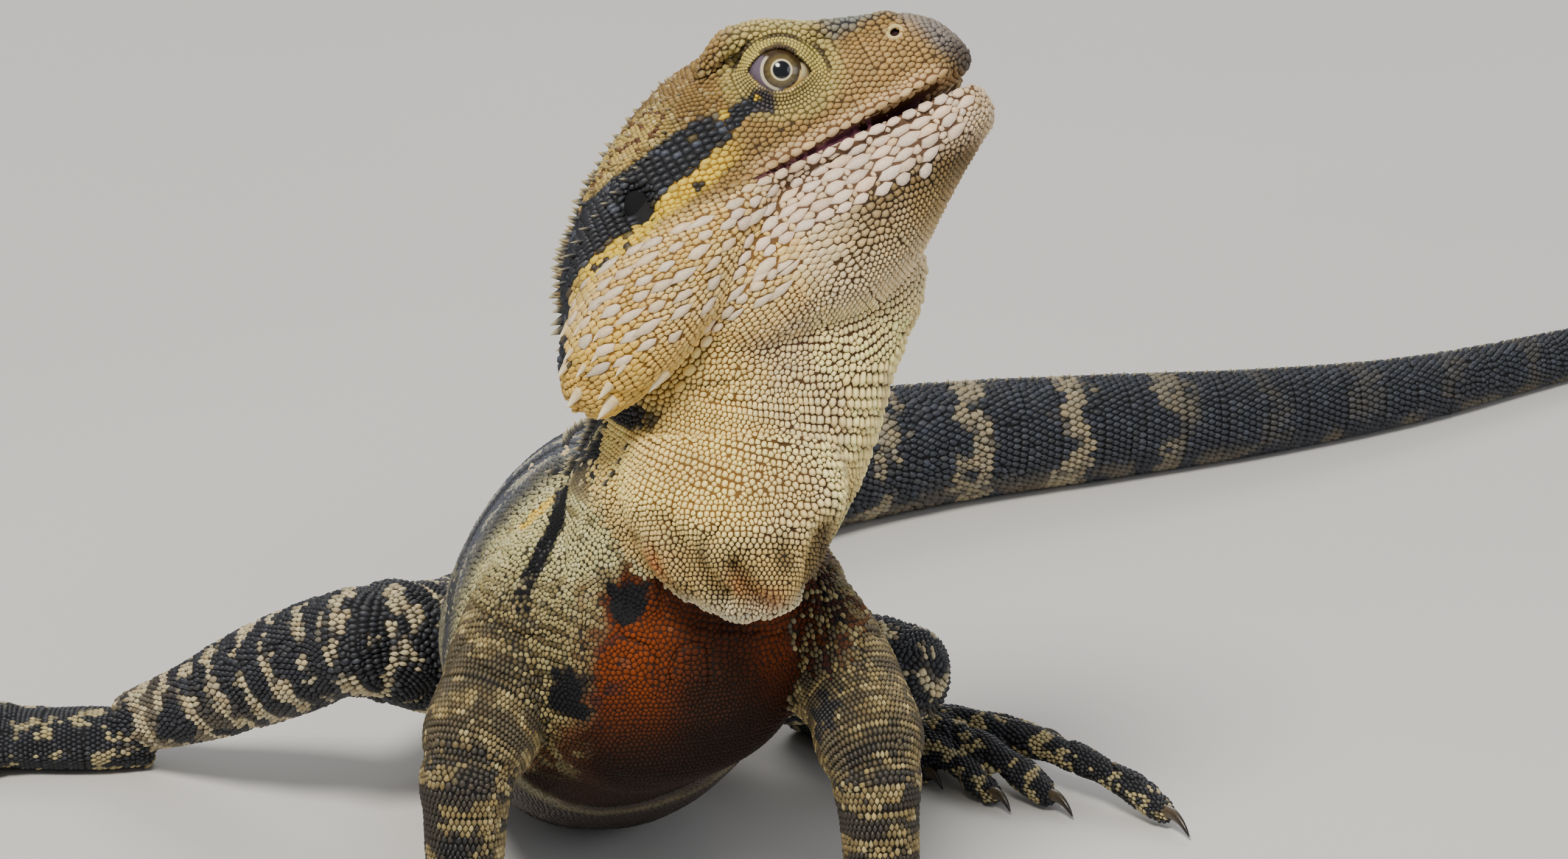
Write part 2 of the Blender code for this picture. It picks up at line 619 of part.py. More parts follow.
def upper_lip_rows(side):
    """The ridge along one side of the mouth, from the half widths of the skull."""
    radius, height = LIP_RADIUS["upper"], MOUTH_LINE + LIP_OFF_EDGE["upper"]
    rows = []
    for ahead, _, half_width, *_ in SKULL:
        if LIP_REACH[0] <= ahead <= LIP_REACH[1]:
            rows.append((ahead, half_width - LIP_INSET["upper"], height, radius, radius, radius))
    return side_rows(rows, side)


def lower_lip_rows(side):
    """The same along the top of the lower jaw, without its tip and its rear."""
    radius = LIP_RADIUS["lower"]
    rows = []
    for ahead, middle, half_width, up, *_ in LOWER_JAW[1:7]:
        height = middle + up - LIP_OFF_EDGE["lower"]
        rows.append((ahead, half_width - LIP_INSET["lower"], height, radius, radius, radius))
    return side_rows(rows, side)


def face_axes(side):
    return (AHEAD, UPWARD, RIGHTWARD * side)


def socket_parts(side):
    """What the eye, the nostril and the ear add to the head on one side, and what they cut from it."""
    axes = face_axes(side)
    eye = head_point(EYE_CENTRE[0], EYE_CENTRE[1] * side, EYE_CENTRE[2])
    lid = EYE_RADIUS + LID_THICKNESS
    nostril = head_point(NOSTRIL_CENTRE[0], NOSTRIL_CENTRE[1] * side, NOSTRIL_CENTRE[2])
    ear = head_point(EAR_CENTRE[0], EAR_CENTRE[1] * side, EAR_CENTRE[2])
    added = [
        ellipsoid("lid", eye, axes, (lid * LID_STRETCH, lid, lid), 14, 8),
        ring_shape("nostril", nostril, axes, NOSTRIL_RADIUS + NOSTRIL_RIM[0], NOSTRIL_RIM[1], 9, 4),
        ring_shape("ear_rim", ear, axes, EAR_RADIUS + EAR_RIM[0], EAR_RIM[1], 14, 4),
    ]
    outside = RIGHTWARD * side
    cut = [
        ellipsoid("socket", eye, axes, (EYE_RADIUS + GAP * 1.6,) * 3, 14, 8),
        ellipsoid("slit", eye + outside * lid, axes, (*LID_OPENING, 4.0), 16, 6),
        ellipsoid("hole", nostril + outside * 0.6, axes, (NOSTRIL_RADIUS, NOSTRIL_RADIUS, 2.4), 8, 6),
        ellipsoid("cup", ear + outside * (2.0 - EAR_DEPTH), axes, (EAR_RADIUS, EAR_RADIUS, 2.6), 14, 6),
    ]
    return added, cut


def build_head():
    skull = tube("head", head_rows(SKULL), ROWS["head"], SIDES["head"], UPWARD, axis=-AHEAD)
    pieces, cuts = [], []
    for side in (1, -1):
        jowl, brow = side_rows(JOWL, side), side_rows(BROW, side)
        pieces.append(tube("jowl", jowl, ROWS["jowl"], SIDES["jowl"], UPWARD, axis=-AHEAD))
        pieces.append(tube("brow", brow, ROWS["brow"], SIDES["ridge"], UPWARD, axis=-AHEAD))
        pieces.append(tube("lip", upper_lip_rows(side), ROWS["lip"], SIDES["ridge"], UPWARD))
        added, cut = socket_parts(side)
        pieces += added
        cuts += cut
    join(skull, pieces)
    boolean(skull, cuts, "DIFFERENCE", "MANIFOLD")
    return keep_largest(skull)


def head_spines(skull):
    """The crest from the crown to the nape, and the spines of the jowls and temples."""
    shares = np.linspace(0.0, 1.0, NAPE_CREST_SPINES)
    front, rear = np.array(NAPE_CREST_LINE)
    starts = []
    for share in shares:
        ahead, height = front + (rear - front) * share
        starts.append(head_point(ahead, 0.0, height))
    # they stand up at the front, and lean backwards down the nape
    outs = [UPWARD * (1.0 - 0.5 * s) - AHEAD * (0.2 + 0.8 * s) for s in shares]
    pieces = spines_on(skull, starts, outs, [sample(NAPE_CREST, s) for s in shares])
    return pieces + jowl_spines(skull) + temple_spines(skull)


def jowl_spines(skull):
    """The cluster of pale spines at the rear of each jowl."""
    tree = surface_of(skull)
    made = []
    for side in (1, -1):
        for ahead, height in JOWL_SPINES:
            further, higher = JOWL_SPINE_START
            start = head_point(ahead + further, JOWL_SPINE_OUT[0] * side, height + higher)
            out = head_point(ahead, JOWL_SPINE_OUT[1] * side, height) - start
            made += spine_on(tree, start, out, -AHEAD, JOWL_SPINE_HEIGHT)
    return made


def temple_spines(skull):
    """A row of short spines from behind each eye, over the ear, to the nape."""
    tree = surface_of(skull)
    front, rear = np.array(TEMPLE_LINE)
    made = []
    for side in (1, -1):
        for share in np.linspace(0.0, 1.0, TEMPLE_SPINES):
            ahead, aside, height = front + (rear - front) * share
            start = head_point(ahead, aside * side, height)
            # up and out, and the rear ones lean backwards too
            out = UPWARD * 0.8 + RIGHTWARD * side * 0.6 - AHEAD * 0.3 * share
            made += spine_on(tree, start, out, -AHEAD, sample(TEMPLE_HEIGHTS, share))
    return made


def build_lower_jaw():
    jaw = tube("lower_jaw", head_rows(LOWER_JAW), ROWS["jaw"], SIDES["jaw"], UPWARD, "cream", -AHEAD)
    lips = [tube("lip", lower_lip_rows(side), ROWS["lip"], SIDES["ridge"], UPWARD) for side in (1, -1)]
    return join(jaw, lips)


def build_eye(name, side):
    eye = head_point(EYE_CENTRE[0], EYE_CENTRE[1] * side, EYE_CENTRE[2])
    return ellipsoid(name, eye, face_axes(side), (EYE_RADIUS,) * 3, 14, 8, "eye")


def build_ear(name, side, head):
    """The ear drum, a thin dished plate at the bottom of the ear's cup."""
    ear = head_point(EAR_CENTRE[0], EAR_CENTRE[1] * side, EAR_CENTRE[2])
    radii = (EAR_RADIUS - 0.5, EAR_RADIUS - 0.5, 1.0)
    drum = ellipsoid(name, ear - RIGHTWARD * side * 1.2, face_axes(side), radii, 12, 4, "drum")
    return keep_largest(cut_clear(drum, [head]))


def neck_up(row):
    turn = math.radians(row[6])
    return Vector((-math.cos(turn), math.sin(turn), 0.0))


def torso_up(row):
    lean = math.radians(row[8])
    return Vector((-math.sin(lean), 0.0, math.cos(lean)))


def build_neck():
    rows = smooth_rows(NECK, ROWS["neck"])
    return rings_object("neck", tube_rings(rows, [neck_up(r) for r in rows], SIDES["neck"]), "cream")


def crest_on_neck(neck):
    rows = smooth_rows(NECK, NECK_CREST_ROWS)[slice(*NECK_CREST_SPAN)]
    shares = np.linspace(0.0, 1.0, len(rows))
    starts = [Vector(row[:3]) for row in rows]
    return spines_on(neck, starts, [neck_up(row) for row in rows], [sample(NECK_CREST, s) for s in shares])


def build_pouch():
    """The let-down throat, a rounded flap that hangs in front of the chest."""
    out = POUCH_ACROSS.cross(POUCH_HANG).normalized()
    rings = []
    for row in smooth_rows(POUCH, ROWS["pouch"]):
        centre = Vector(row[:3])
        ring = []
        for k in range(SIDES["pouch"]):
            x, y = superellipse(2 * math.pi * k / SIDES["pouch"], row[3], row[4], POUCH_SQUARENESS)
            ring.append(centre + POUCH_ACROSS * x + out * y)
        rings.append(ring)
    return rings_object("throat_pouch", rings, "cream")


def build_torso():
    rows = smooth_rows(TORSO, ROWS["torso"])
    torso = rings_object("torso", tube_rings(rows, [torso_up(r) for r in rows], SIDES["body"]), "rust")
    return rest_on_floor(torso)


def crest_on(obj, rows, heights, count, reach):
    """Spines along the part of this line that lies within the reach, given as shares of the whole line."""
    rows = smooth_rows(rows, count)
    shares = np.linspace(0.0, 1.0, count)
    chosen = [i for i in range(count) if reach[0] <= shares[i] <= reach[1]]
    starts = [Vector(rows[i][:3]) for i in chosen]
    outs = [torso_up(rows[i]) if len(rows[i]) > 8 else Vector((0, 0, 1)) for i in chosen]
    sizes = [sample(heights, shares[i]) for i in chosen]
    return spines_on(obj, starts, outs, sizes)


def build_tail():
    """The tail in lengths, each with its crest."""
    rings = tube_rings(smooth_rows(TAIL, TAIL_ROWS), Vector((0, 0, 1)), SIDES["tail"])
    bounds = [round(x) for x in np.linspace(0, len(rings) - 1, TAIL_LENGTHS + 1)]
    lengths = []
    for i in range(TAIL_LENGTHS):
        part = [list(ring) for ring in rings[bounds[i]: bounds[i + 1] + 1]]
        if i:
            step = (sum(part[1], Vector()) - sum(part[0], Vector())).normalized() * GAP
            part[0] = [p + step for p in part[0]]
        lengths.append(rest_on_floor(rings_object(f"tail_{i + 1}", part, "banded")))
    return lengths


def leg_rows(table):
    return [(x, y, z, across, up, up) for x, y, z, across, up in table]


def digit(rows, root_radius, pad_radius):
    """A toe and its claw."""
    route = [Vector(p) for p in rows]
    flesh = []
    for i, place in enumerate(route[:-1]):
        share = i / (len(route) - 2)
        radius = root_radius + (pad_radius - root_radius) * share
        flesh.append((*place, radius, radius, radius))
    ahead = (route[-1] - route[-2]).normalized()
    end = route[-2] + ahead * pad_radius * TOE_TIP[0]
    blunt = pad_radius * TOE_TIP[1]
    flesh.append((*end, blunt, blunt, blunt))
    toe = tube("toe", flesh, 2 * len(flesh) - 2, SIDES["toe"])
    middle = (route[-2] + route[-1]) / 2 + Vector((0, 0, CLAW_ARCH))
    places = (route[-2], middle, route[-1])
    claw = [(*place, *sizes) for place, sizes in zip(places, CLAW_SIZES)]
    return [toe, tube("claw", claw, ROWS["claw"], SIDES["claw"])]


def build_foot(name, place, toes, sole, outer):
    """A hand or a foot on the floor, in one piece. outer is 1 or -1, the side of the fifth toe."""
    x, y, heading = place
    ahead = Vector((math.cos(math.radians(heading)), math.sin(math.radians(heading)), 0.0))
    aside = Vector((-ahead.y, ahead.x, 0.0)) * outer
    origin = Vector((x, y, 0.0))

    def placed(along, beside, height):
        return origin + ahead * along + aside * beside + Vector((0, 0, height))

    rows = [(*placed(along, 0.0, height), wide, thick, thick) for along, height, wide, thick in sole]
    foot = tube(name, rows, ROWS["sole"], SIDES["sole"], colour="banded")
    digits = []
    for route, root_radius, pad_radius in toes:
        digits += digit([placed(*p) for p in route], root_radius, pad_radius)
    join(foot, digits)
    rest_on_floor(foot)
    return keep_largest(foot)


def smooth_shaded(obj, angle=40.0):
    obj.data.shade_smooth()
    obj.data.set_sharp_from_angle(angle=math.radians(angle))


def place_origin():
    """Moves everything so that the origin is on the floor, under the middle of the bounding box."""
    low, high = np.full(3, np.inf), np.full(3, -np.inf)
    for obj in bpy.context.scene.objects:
        points = np.array([v.co for v in obj.data.vertices])
        low, high = np.minimum(low, points.min(0)), np.maximum(high, points.max(0))
    middle = (low + high) / 2
    shift = Matrix.Translation((-middle[0], -middle[1], -low[2]))
    for obj in bpy.context.scene.objects:
        obj.data.transform(shift)


def main():
    clear_scene()
    head = build_head()
    jaw = build_lower_jaw()
    neck = build_neck()
    pouch = build_pouch()
    torso = build_torso()
    tail = build_tail()
    for side, sign in (("left", -1), ("right", 1)):
        build_eye(f"eye_{side}", sign)
        build_ear(f"ear_{side}", sign, head)
    keep_largest(cut_clear(jaw, [head]))
    keep_largest(cut_clear(neck, [head, jaw, torso]))
    keep_largest(cut_clear(pouch, [neck, jaw, torso]))
    keep_largest(cut_clear(tail[0], [torso]))
    keep_largest(join(head, clear_of(head_spines(head), [neck, jaw])))
    crest = crest_on(torso, TORSO, BACK_CREST, BACK_CREST_ROWS, BACK_CREST_REACH)
    keep_largest(join(torso, clear_of(crest, [neck, head, tail[0]])))
    keep_largest(join(neck, clear_of(crest_on_neck(neck), [torso, head])))
    for length, reach in zip(tail, TAIL_CREST_REACH):
        keep_largest(join(length, crest_on(length, TAIL, TAIL_CREST, TAIL_CREST_ROWS, reach)))
    for side, outer in (("left", 1), ("right", -1)):
        arm = tube(f"upper_arm_{side}", leg_rows(UPPER_ARM[side]), ROWS["arm"], SIDES["leg"])
        forearm_rows = leg_rows(FOREARM[side])
        forearm = tube(f"forearm_{side}", forearm_rows, ROWS["forearm"], SIDES["leg"], Vector((0, 1, 0)))
        hand = build_foot(f"hand_{side}", HAND_PLACE[side], HAND_TOES, PALM, outer)
        thigh = tube(f"thigh_{side}", leg_rows(THIGH[side]), ROWS["thigh"], SIDES["leg"])
        shank = tube(f"shank_{side}", leg_rows(SHANK[side]), ROWS["shank"], SIDES["leg"])
        foot = build_foot(f"foot_{side}", FOOT_PLACE[side], FOOT_TOES, SOLE, outer)
        keep_largest(cut_clear(arm, [torso, neck]))
        keep_largest(cut_clear(forearm, [arm, hand]))
        keep_largest(cut_clear(thigh, [torso]))
        keep_largest(cut_clear(shank, [thigh, foot]))
    for obj in bpy.context.scene.objects:
        face_outwards(obj)
        smooth_shaded(obj)
    place_origin()


main()
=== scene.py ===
"""The dressed water dragon: one skin, its scales, spines, lids, eyes and claws, over the fixed CAD frame.

Tables are in millimetres, in the model's own frame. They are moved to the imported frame, in metres, when a
mesh is made.
"""
import math

import bpy
import numpy as np
from mathutils import Matrix, Vector
from mathutils.bvhtree import BVHTree
from mathutils.kdtree import KDTree


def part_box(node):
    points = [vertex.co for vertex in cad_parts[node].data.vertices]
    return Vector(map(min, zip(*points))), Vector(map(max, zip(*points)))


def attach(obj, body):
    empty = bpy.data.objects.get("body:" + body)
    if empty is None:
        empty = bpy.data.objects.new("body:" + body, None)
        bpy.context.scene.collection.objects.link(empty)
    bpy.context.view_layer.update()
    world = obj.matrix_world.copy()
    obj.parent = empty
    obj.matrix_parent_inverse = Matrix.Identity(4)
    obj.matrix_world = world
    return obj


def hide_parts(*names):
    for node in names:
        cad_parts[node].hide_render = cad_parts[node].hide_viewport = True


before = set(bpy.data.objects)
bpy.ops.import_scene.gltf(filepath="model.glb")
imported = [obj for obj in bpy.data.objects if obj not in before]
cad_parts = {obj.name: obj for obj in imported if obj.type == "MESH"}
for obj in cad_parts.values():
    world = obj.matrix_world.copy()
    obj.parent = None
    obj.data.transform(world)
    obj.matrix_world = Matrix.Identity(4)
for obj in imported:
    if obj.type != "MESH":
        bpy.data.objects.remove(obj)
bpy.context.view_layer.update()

MM = 0.001
SKIN_DEPTH = 0.32  # how far the skin lies inside the solids
VOXEL = 0.66
SKIN_SHARE = 0.42  # of the skin's faces, once all is measured on it
RANDOM = np.random.default_rng(11)

# The head's frame
HEAD_ORIGIN = np.array((-20.2, 17.1, 125.9))
HEAD_HEADING = math.radians(-3.7)
HEAD_PITCH = math.radians(30.8)
HEAD_ROLL = math.radians(30.3)
EYE_CENTRE = (32.3, 10.6, 8.0)
EYE_RADIUS = 5.6
EAR_CENTRE = (2.2, 19.4, -0.5)
EAR_RADIUS = 4.4
NOSTRIL_CENTRE = (52.0, 8.2, 4.4)
MOUTH_LINE = -6.4


def head_axes():
    turn = (Matrix.Rotation(HEAD_HEADING, 3, "Z") @ Matrix.Rotation(-HEAD_PITCH, 3, "Y")
            @ Matrix.Rotation(-HEAD_ROLL, 3, "X"))
    return [np.array(turn @ Vector(v)) for v in ((1, 0, 0), (0, -1, 0), (0, 0, 1))]


AHEAD, RIGHTWARD, UPWARD = head_axes()


def head_point(ahead, right, up):
    return HEAD_ORIGIN + AHEAD * ahead + RIGHTWARD * right + UPWARD * up


def in_head(points):
    """Ahead, right and up of points, as columns."""
    return (points - HEAD_ORIGIN) @ np.array((AHEAD, RIGHTWARD, UPWARD)).T


low, high = (np.array(c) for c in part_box("eye_right"))
SHIFT = (low + high) / 2 / MM - head_point(*EYE_CENTRE)

# Tables, as the solids have them
SKULL = [
    (60.5, -2.8, 1.6, 1.6, 1.2, 2.0, 2.0), (59.4, -1.6, 4.6, 4.0, 3.6, 2.2, 2.4),
    (56.8, -0.4, 7.2, 6.4, 5.4, 2.3, 3.0), (52.0, 0.0, 9.0, 9.2, 6.4, 2.4, 3.4),
    (46.0, 0.0, 10.8, 11.4, 6.4, 2.4, 3.6), (40.0, 0.0, 12.2, 13.4, 6.4, 2.4, 3.6),
    (34.0, 0.0, 13.2, 16.2, 6.4, 2.4, 3.6), (28.0, 0.0, 14.4, 18.2, 6.4, 2.3, 3.6),
    (21.0, 0.0, 16.6, 18.8, 6.6, 2.2, 3.4), (14.0, -1.0, 18.6, 19.0, 8.5, 2.1, 3.0),
    (6.0, -3.0, 19.6, 18.4, 11.0, 2.0, 2.6), (-2.0, -5.0, 19.6, 16.4, 14.0, 1.9, 2.4),
    (-10.0, -8.0, 18.6, 13.2, 14.0, 1.9, 2.2), (-16.0, -11.0, 16.0, 9.8, 12.0, 1.9, 2.0),
    (-20.5, -15.5, 11.0, 4.6, 7.0, 2.0, 2.0),
]
LOWER_JAW = [
    (59.5, -11.4, 1.8, 1.8, 1.8, 2.0, 2.0), (58.6, -11.6, 4.4, 3.0, 3.2, 2.4, 2.0),
    (55.5, -12.2, 7.2, 3.9, 4.4, 3.0, 2.0), (50.0, -13.2, 9.3, 5.2, 6.3, 3.2, 2.0),
    (44.0, -14.4, 11.0, 6.8, 8.8, 3.2, 2.0), (36.0, -16.0, 13.0, 9.0, 12.3, 3.2, 2.0),
    (28.0, -17.5, 15.0, 11.0, 14.0, 3.2, 2.0), (18.0, -19.0, 16.8, 12.0, 13.6, 3.0, 2.0),
    (8.0, -20.5, 17.4, 11.4, 12.4, 2.6, 2.0), (1.0, -22.5, 14.0, 7.6, 8.8, 2.2, 2.0),
]
JOWL = [
    (24.0, 15.0, -7.4, 1.6, 1.6, 1.6), (17.0, 15.6, -9.0, 4.6, 5.0, 4.8), (7.0, 16.4, -11.6, 7.4, 9.0, 9.0),
    (-5.0, 16.6, -14.6, 8.0, 10.6, 11.4), (-15.0, 15.8, -17.4, 7.2, 9.2, 10.2),
    (-21.5, 14.6, -20.0, 4.6, 5.8, 6.4), (-24.5, 13.6, -21.4, 1.4, 1.8, 1.8),
]
BROW = [
    (53.5, 5.4, 7.6, 1.0, 1.0, 1.0), (47.0, 7.4, 9.3, 1.5, 1.5, 1.5), (40.0, 9.4, 12.2, 1.8, 1.8, 1.8),
    (34.0, 11.4, 15.6, 2.0, 2.0, 2.0), (28.0, 12.6, 16.6, 2.0, 2.0, 2.0), (21.0, 12.8, 14.6, 1.2, 1.2, 1.2),
]
# The head and jaw as one shape, for laying rows of scales: ahead, height, half width, up, down, squareness
HEAD_SHAPE = [
    (60.8, -4.0, 2.0, 3.0, 7.0, 2.0, 2.0), (58.0, -5.0, 6.6, 8.4, 10.5, 2.2, 2.0),
    (52.0, -5.5, 9.4, 14.7, 13.0, 2.3, 2.0), (44.0, -6.0, 11.4, 18.2, 17.0, 2.3, 2.0),
    (36.0, -6.5, 13.4, 22.0, 21.5, 2.3, 2.0), (28.0, -7.0, 15.2, 25.2, 24.5, 2.2, 2.0),
    (18.0, -8.0, 18.4, 27.0, 24.5, 2.1, 2.0), (8.0, -9.5, 23.4, 25.2, 23.0, 2.0, 2.0),
    (-4.0, -12.0, 24.6, 22.5, 17.0, 1.9, 2.0), (-14.0, -15.5, 23.4, 15.5, 13.5, 1.9, 2.0),
    (-21.0, -19.0, 19.0, 7.0, 8.5, 2.0, 2.0),
]
NECK = [
    (3.0, 14.6, 131.6, 12.0, 22.0, 25.5, 8.0), (0.0, 13.4, 126.0, 15.0, 25.2, 28.2, 8.0),
    (-4.6, 11.8, 118.4, 16.8, 26.0, 28.8, 6.0), (-6.6, 9.0, 108.0, 18.0, 24.4, 27.8, 6.0),
    (-7.6, 6.4, 98.6, 18.6, 21.6, 25.0, 10.0), (-10.4, 5.0, 88.8, 19.0, 20.6, 23.6, 18.0),
    (-13.8, 5.4, 79.3, 20.0, 21.6, 22.0, 30.0), (-17.0, 7.6, 69.4, 21.5, 22.0, 20.0, 45.0),
    (-19.0, 11.0, 59.0, 19.0, 18.0, 17.0, 60.0),
]
POUCH = [
    (-9.4, -3.5, 95.0, 18.0, 11.5), (-9.8, -7.0, 90.0, 19.0, 12.5), (-10.4, -11.2, 85.4, 18.2, 11.8),
    (-10.8, -15.2, 80.0, 15.6, 10.4), (-10.4, -18.2, 75.6, 12.6, 8.6), (-9.9, -20.3, 71.6, 7.6, 5.6),
    (-9.6, -21.4, 69.6, 2.0, 1.8),
]
POUCH_ACROSS = Vector((0.985, -0.174, 0.0))
POUCH_HANG = Vector((0.0, 0.42, 0.9))
TORSO = [
    (-15.0, -14.5, 58.0, 8.0, 7.0, 9.0, 2.0, 2.0, 0.0), (-15.6, -11.0, 58.0, 16.5, 13.0, 16.0, 2.0, 2.2, 5.0),
    (-17.5, -4.0, 57.5, 22.5, 19.5, 21.5, 1.9, 2.3, 10.0), (-20.5, 5.0, 56.5, 25.5, 26.0, 24.5, 1.8, 2.3, 14.0),
    (-23.5, 17.0, 54.0, 28.0, 30.5, 28.0, 1.7, 2.3, 13.0), (-24.5, 34.0, 48.5, 28.0, 32.5, 32.0, 1.6, 2.3, 8.0),
    (-22.5, 56.0, 40.5, 27.0, 34.5, 34.6, 1.55, 2.3, 2.0), (-19.5, 77.0, 33.5, 26.5, 31.5, 35.4, 1.55, 2.3, 0.0),
    (-17.5, 96.0, 27.5, 23.5, 27.5, 29.6, 1.6, 2.2, 0.0), (-16.0, 113.0, 24.0, 19.5, 23.5, 24.4, 1.65, 2.1, 0.0),
    (-14.5, 130.0, 21.5, 16.5, 20.5, 21.0, 1.7, 2.1, 0.0),
]
TAIL = [
    (-14.5, 130.0, 21.5, 16.5, 20.5, 21.0), (-11.0, 147.0, 20.2, 14.6, 19.2, 19.6),
    (-2.0, 165.0, 18.2, 13.0, 16.8, 17.2), (13.5, 184.0, 15.4, 11.8, 14.8, 15.4),
    (37.0, 201.0, 13.2, 10.6, 13.2, 13.4), (66.0, 213.0, 11.6, 9.3, 11.6, 11.8),
    (100.0, 221.0, 10.0, 7.8, 10.0, 10.2), (132.0, 229.0, 8.2, 6.3, 8.2, 8.4),
    (163.0, 240.0, 6.5, 5.0, 6.5, 6.7), (196.0, 257.0, 5.1, 4.0, 5.1, 5.3), (237.0, 277.0, 4.2, 3.3, 4.2, 4.4),
    (286.0, 289.0, 3.5, 2.8, 3.5, 3.7), (336.0, 286.0, 2.9, 2.4, 2.9, 3.1), (382.0, 269.0, 2.4, 2.0, 2.4, 2.6),
    (422.0, 243.0, 1.9, 1.6, 1.9, 2.1), (454.0, 211.0, 1.4, 1.2, 1.4, 1.6), (470.0, 186.0, 0.8, 0.7, 0.8, 0.9),
]
TAIL_LENGTHS = 7
UPPER_ARM = {
    "right": [(-34, 14, 66, 12, 13), (-41, 8, 59, 11.5, 12.5), (-48.5, -1, 50.5, 9.8, 10.6),
              (-54, -8, 43, 8.0, 8.4), (-56, -11, 39, 4.0, 4.0)],
    "left": [(-2, 13, 64, 12, 13), (3, 5, 59, 10.8, 12.2), (10.4, -8, 50, 8.7, 9.8), (12, -19, 42.5, 7.8, 8.0),
             (12.5, -22.5, 39, 4.0, 4.0)],
}
FOREARM = {
    "right": [(-54, -8, 48, 4.0, 4.0), (-54.5, -9, 43, 7.4, 7.4), (-55, -10, 34, 6.9, 6.8),
              (-55.5, -11, 22, 6.2, 5.6), (-56, -12, 11, 5.6, 4.4), (-56, -13.5, 5.5, 5.6, 3.6)],
    "left": [(12, -18, 48, 4.0, 4.0), (12, -19, 42.5, 7.2, 7.4), (12.2, -21, 34, 6.6, 6.8),
             (12.6, -23, 22, 6.1, 5.6), (13, -24, 11, 5.6, 4.4), (13.2, -25.5, 5.5, 5.6, 3.6)],
}
THIGH = {
    "right": [(-24, 107, 22, 12, 12), (-32, 102, 22.5, 12.8, 12.8), (-43, 90.5, 25, 12.0, 12.0),
              (-52, 80, 30, 10.6, 10.8), (-58.5, 73.5, 33.6, 8.6, 9.0), (-61.5, 71.5, 34, 4.5, 4.8)],
    "left": [(-12, 108, 20, 12, 12), (-3, 101, 20, 12.6, 12.6), (10, 88, 20.5, 11.6, 11.8),
             (23, 75, 22.5, 9.6, 9.8), (33.5, 66.5, 23.6, 7.4, 7.6), (36, 64, 23.6, 4.0, 4.0)],
}
SHANK = {
    "right": [(-55, 71.5, 34.5, 4.5, 4.8), (-58.5, 73, 33.9, 8.2, 8.6), (-64.9, 79, 31, 8.6, 9.0),
              (-71.4, 84.6, 26.3, 9.0, 9.2), (-78.9, 91, 20.9, 8.4, 8.6), (-88, 99.4, 13.8, 6.6, 7.0),
              (-95.5, 106, 9.2, 5.6, 5.6), (-99, 108, 7.8, 5.2, 4.6)],
    "left": [(37.5, 63.5, 24, 4.0, 4.0), (35.5, 66.5, 23.6, 7.2, 7.4), (32, 77, 19.5, 8.0, 8.2),
             (28.5, 88.5, 13.5, 6.6, 7.0), (25, 98, 9.0, 5.6, 5.4), (24, 101, 7.5, 5.2, 4.6)],
}
HAND_PLACE = {"right": (-56.0, -13.0, -112.0), "left": (13.2, -25.0, -66.0)}
FOOT_PLACE = {"right": (-98.5, 107.5, 168.0), "left": (24.0, 101.0, -46.5)}
HAND_TOES = [
    ([(3, -3, 4.4), (8, -6, 3.6), (14, -9.5, 1.6), (18.5, -11.5, 0.5)], 2.6, 1.9),
    ([(4, -2, 4.8), (12, -4.5, 4.0), (21, -7.5, 1.6), (26.5, -9.5, 0.5)], 2.8, 1.9),
    ([(5, 0, 5.0), (14, -0.5, 4.6), (21, -1.0, 3.2), (27, -1.2, 1.6), (32.5, -1.6, 0.5)], 2.9, 1.9),
    ([(4, 2, 4.8), (13, 4.5, 4.4), (20, 6.5, 3.2), (26, 8.4, 1.6), (31.5, 10.0, 0.5)], 2.9, 1.9),
    ([(3, 3, 4.4), (9, 8.0, 3.6), (15, 12.0, 1.6), (19.5, 15.2, 0.5)], 2.6, 1.9),
]
FOOT_TOES = [
    ([(12, -3, 5.4), (21, -6, 4.4), (29, -8.2, 1.8), (34, -9.6, 0.5)], 2.9, 2.1),
    ([(16, -2, 6.0), (28, -4.5, 5.8), (37, -7, 4.0), (44, -9, 1.8), (49.5, -11, 0.5)], 3.1, 2.1),
    ([(20, 0, 6.4), (32, -1.5, 7.0), (43, -3, 5.6), (53, -4.6, 2.3), (59.5, -6.4, 0.5)], 3.3, 2.2),
    ([(20, 2, 6.6), (34, 3.4, 7.6), (48, 3.8, 7.2), (62, 2.6, 5.6), (74, 0.6, 2.6), (81, -2.0, 0.5)], 3.4, 2.2),
    ([(8, 3, 5.4), (20, 8, 5.0), (29, 13, 4.0), (35, 17, 2.2), (39.5, 20.5, 0.5)], 3.0, 2.1),
]
PALM = [(-4.0, 4.2, 4.6, 4.4), (1.0, 4.3, 6.4, 5.0), (6.0, 4.0, 6.8, 4.6), (11.0, 3.6, 5.0, 3.8)]
SOLE = [(-5.0, 4.4, 4.2, 4.6), (3.0, 4.8, 6.6, 5.4), (13.0, 4.6, 7.2, 5.2), (22.0, 4.4, 6.6, 4.8),
        (28.0, 4.0, 4.4, 4.0)]


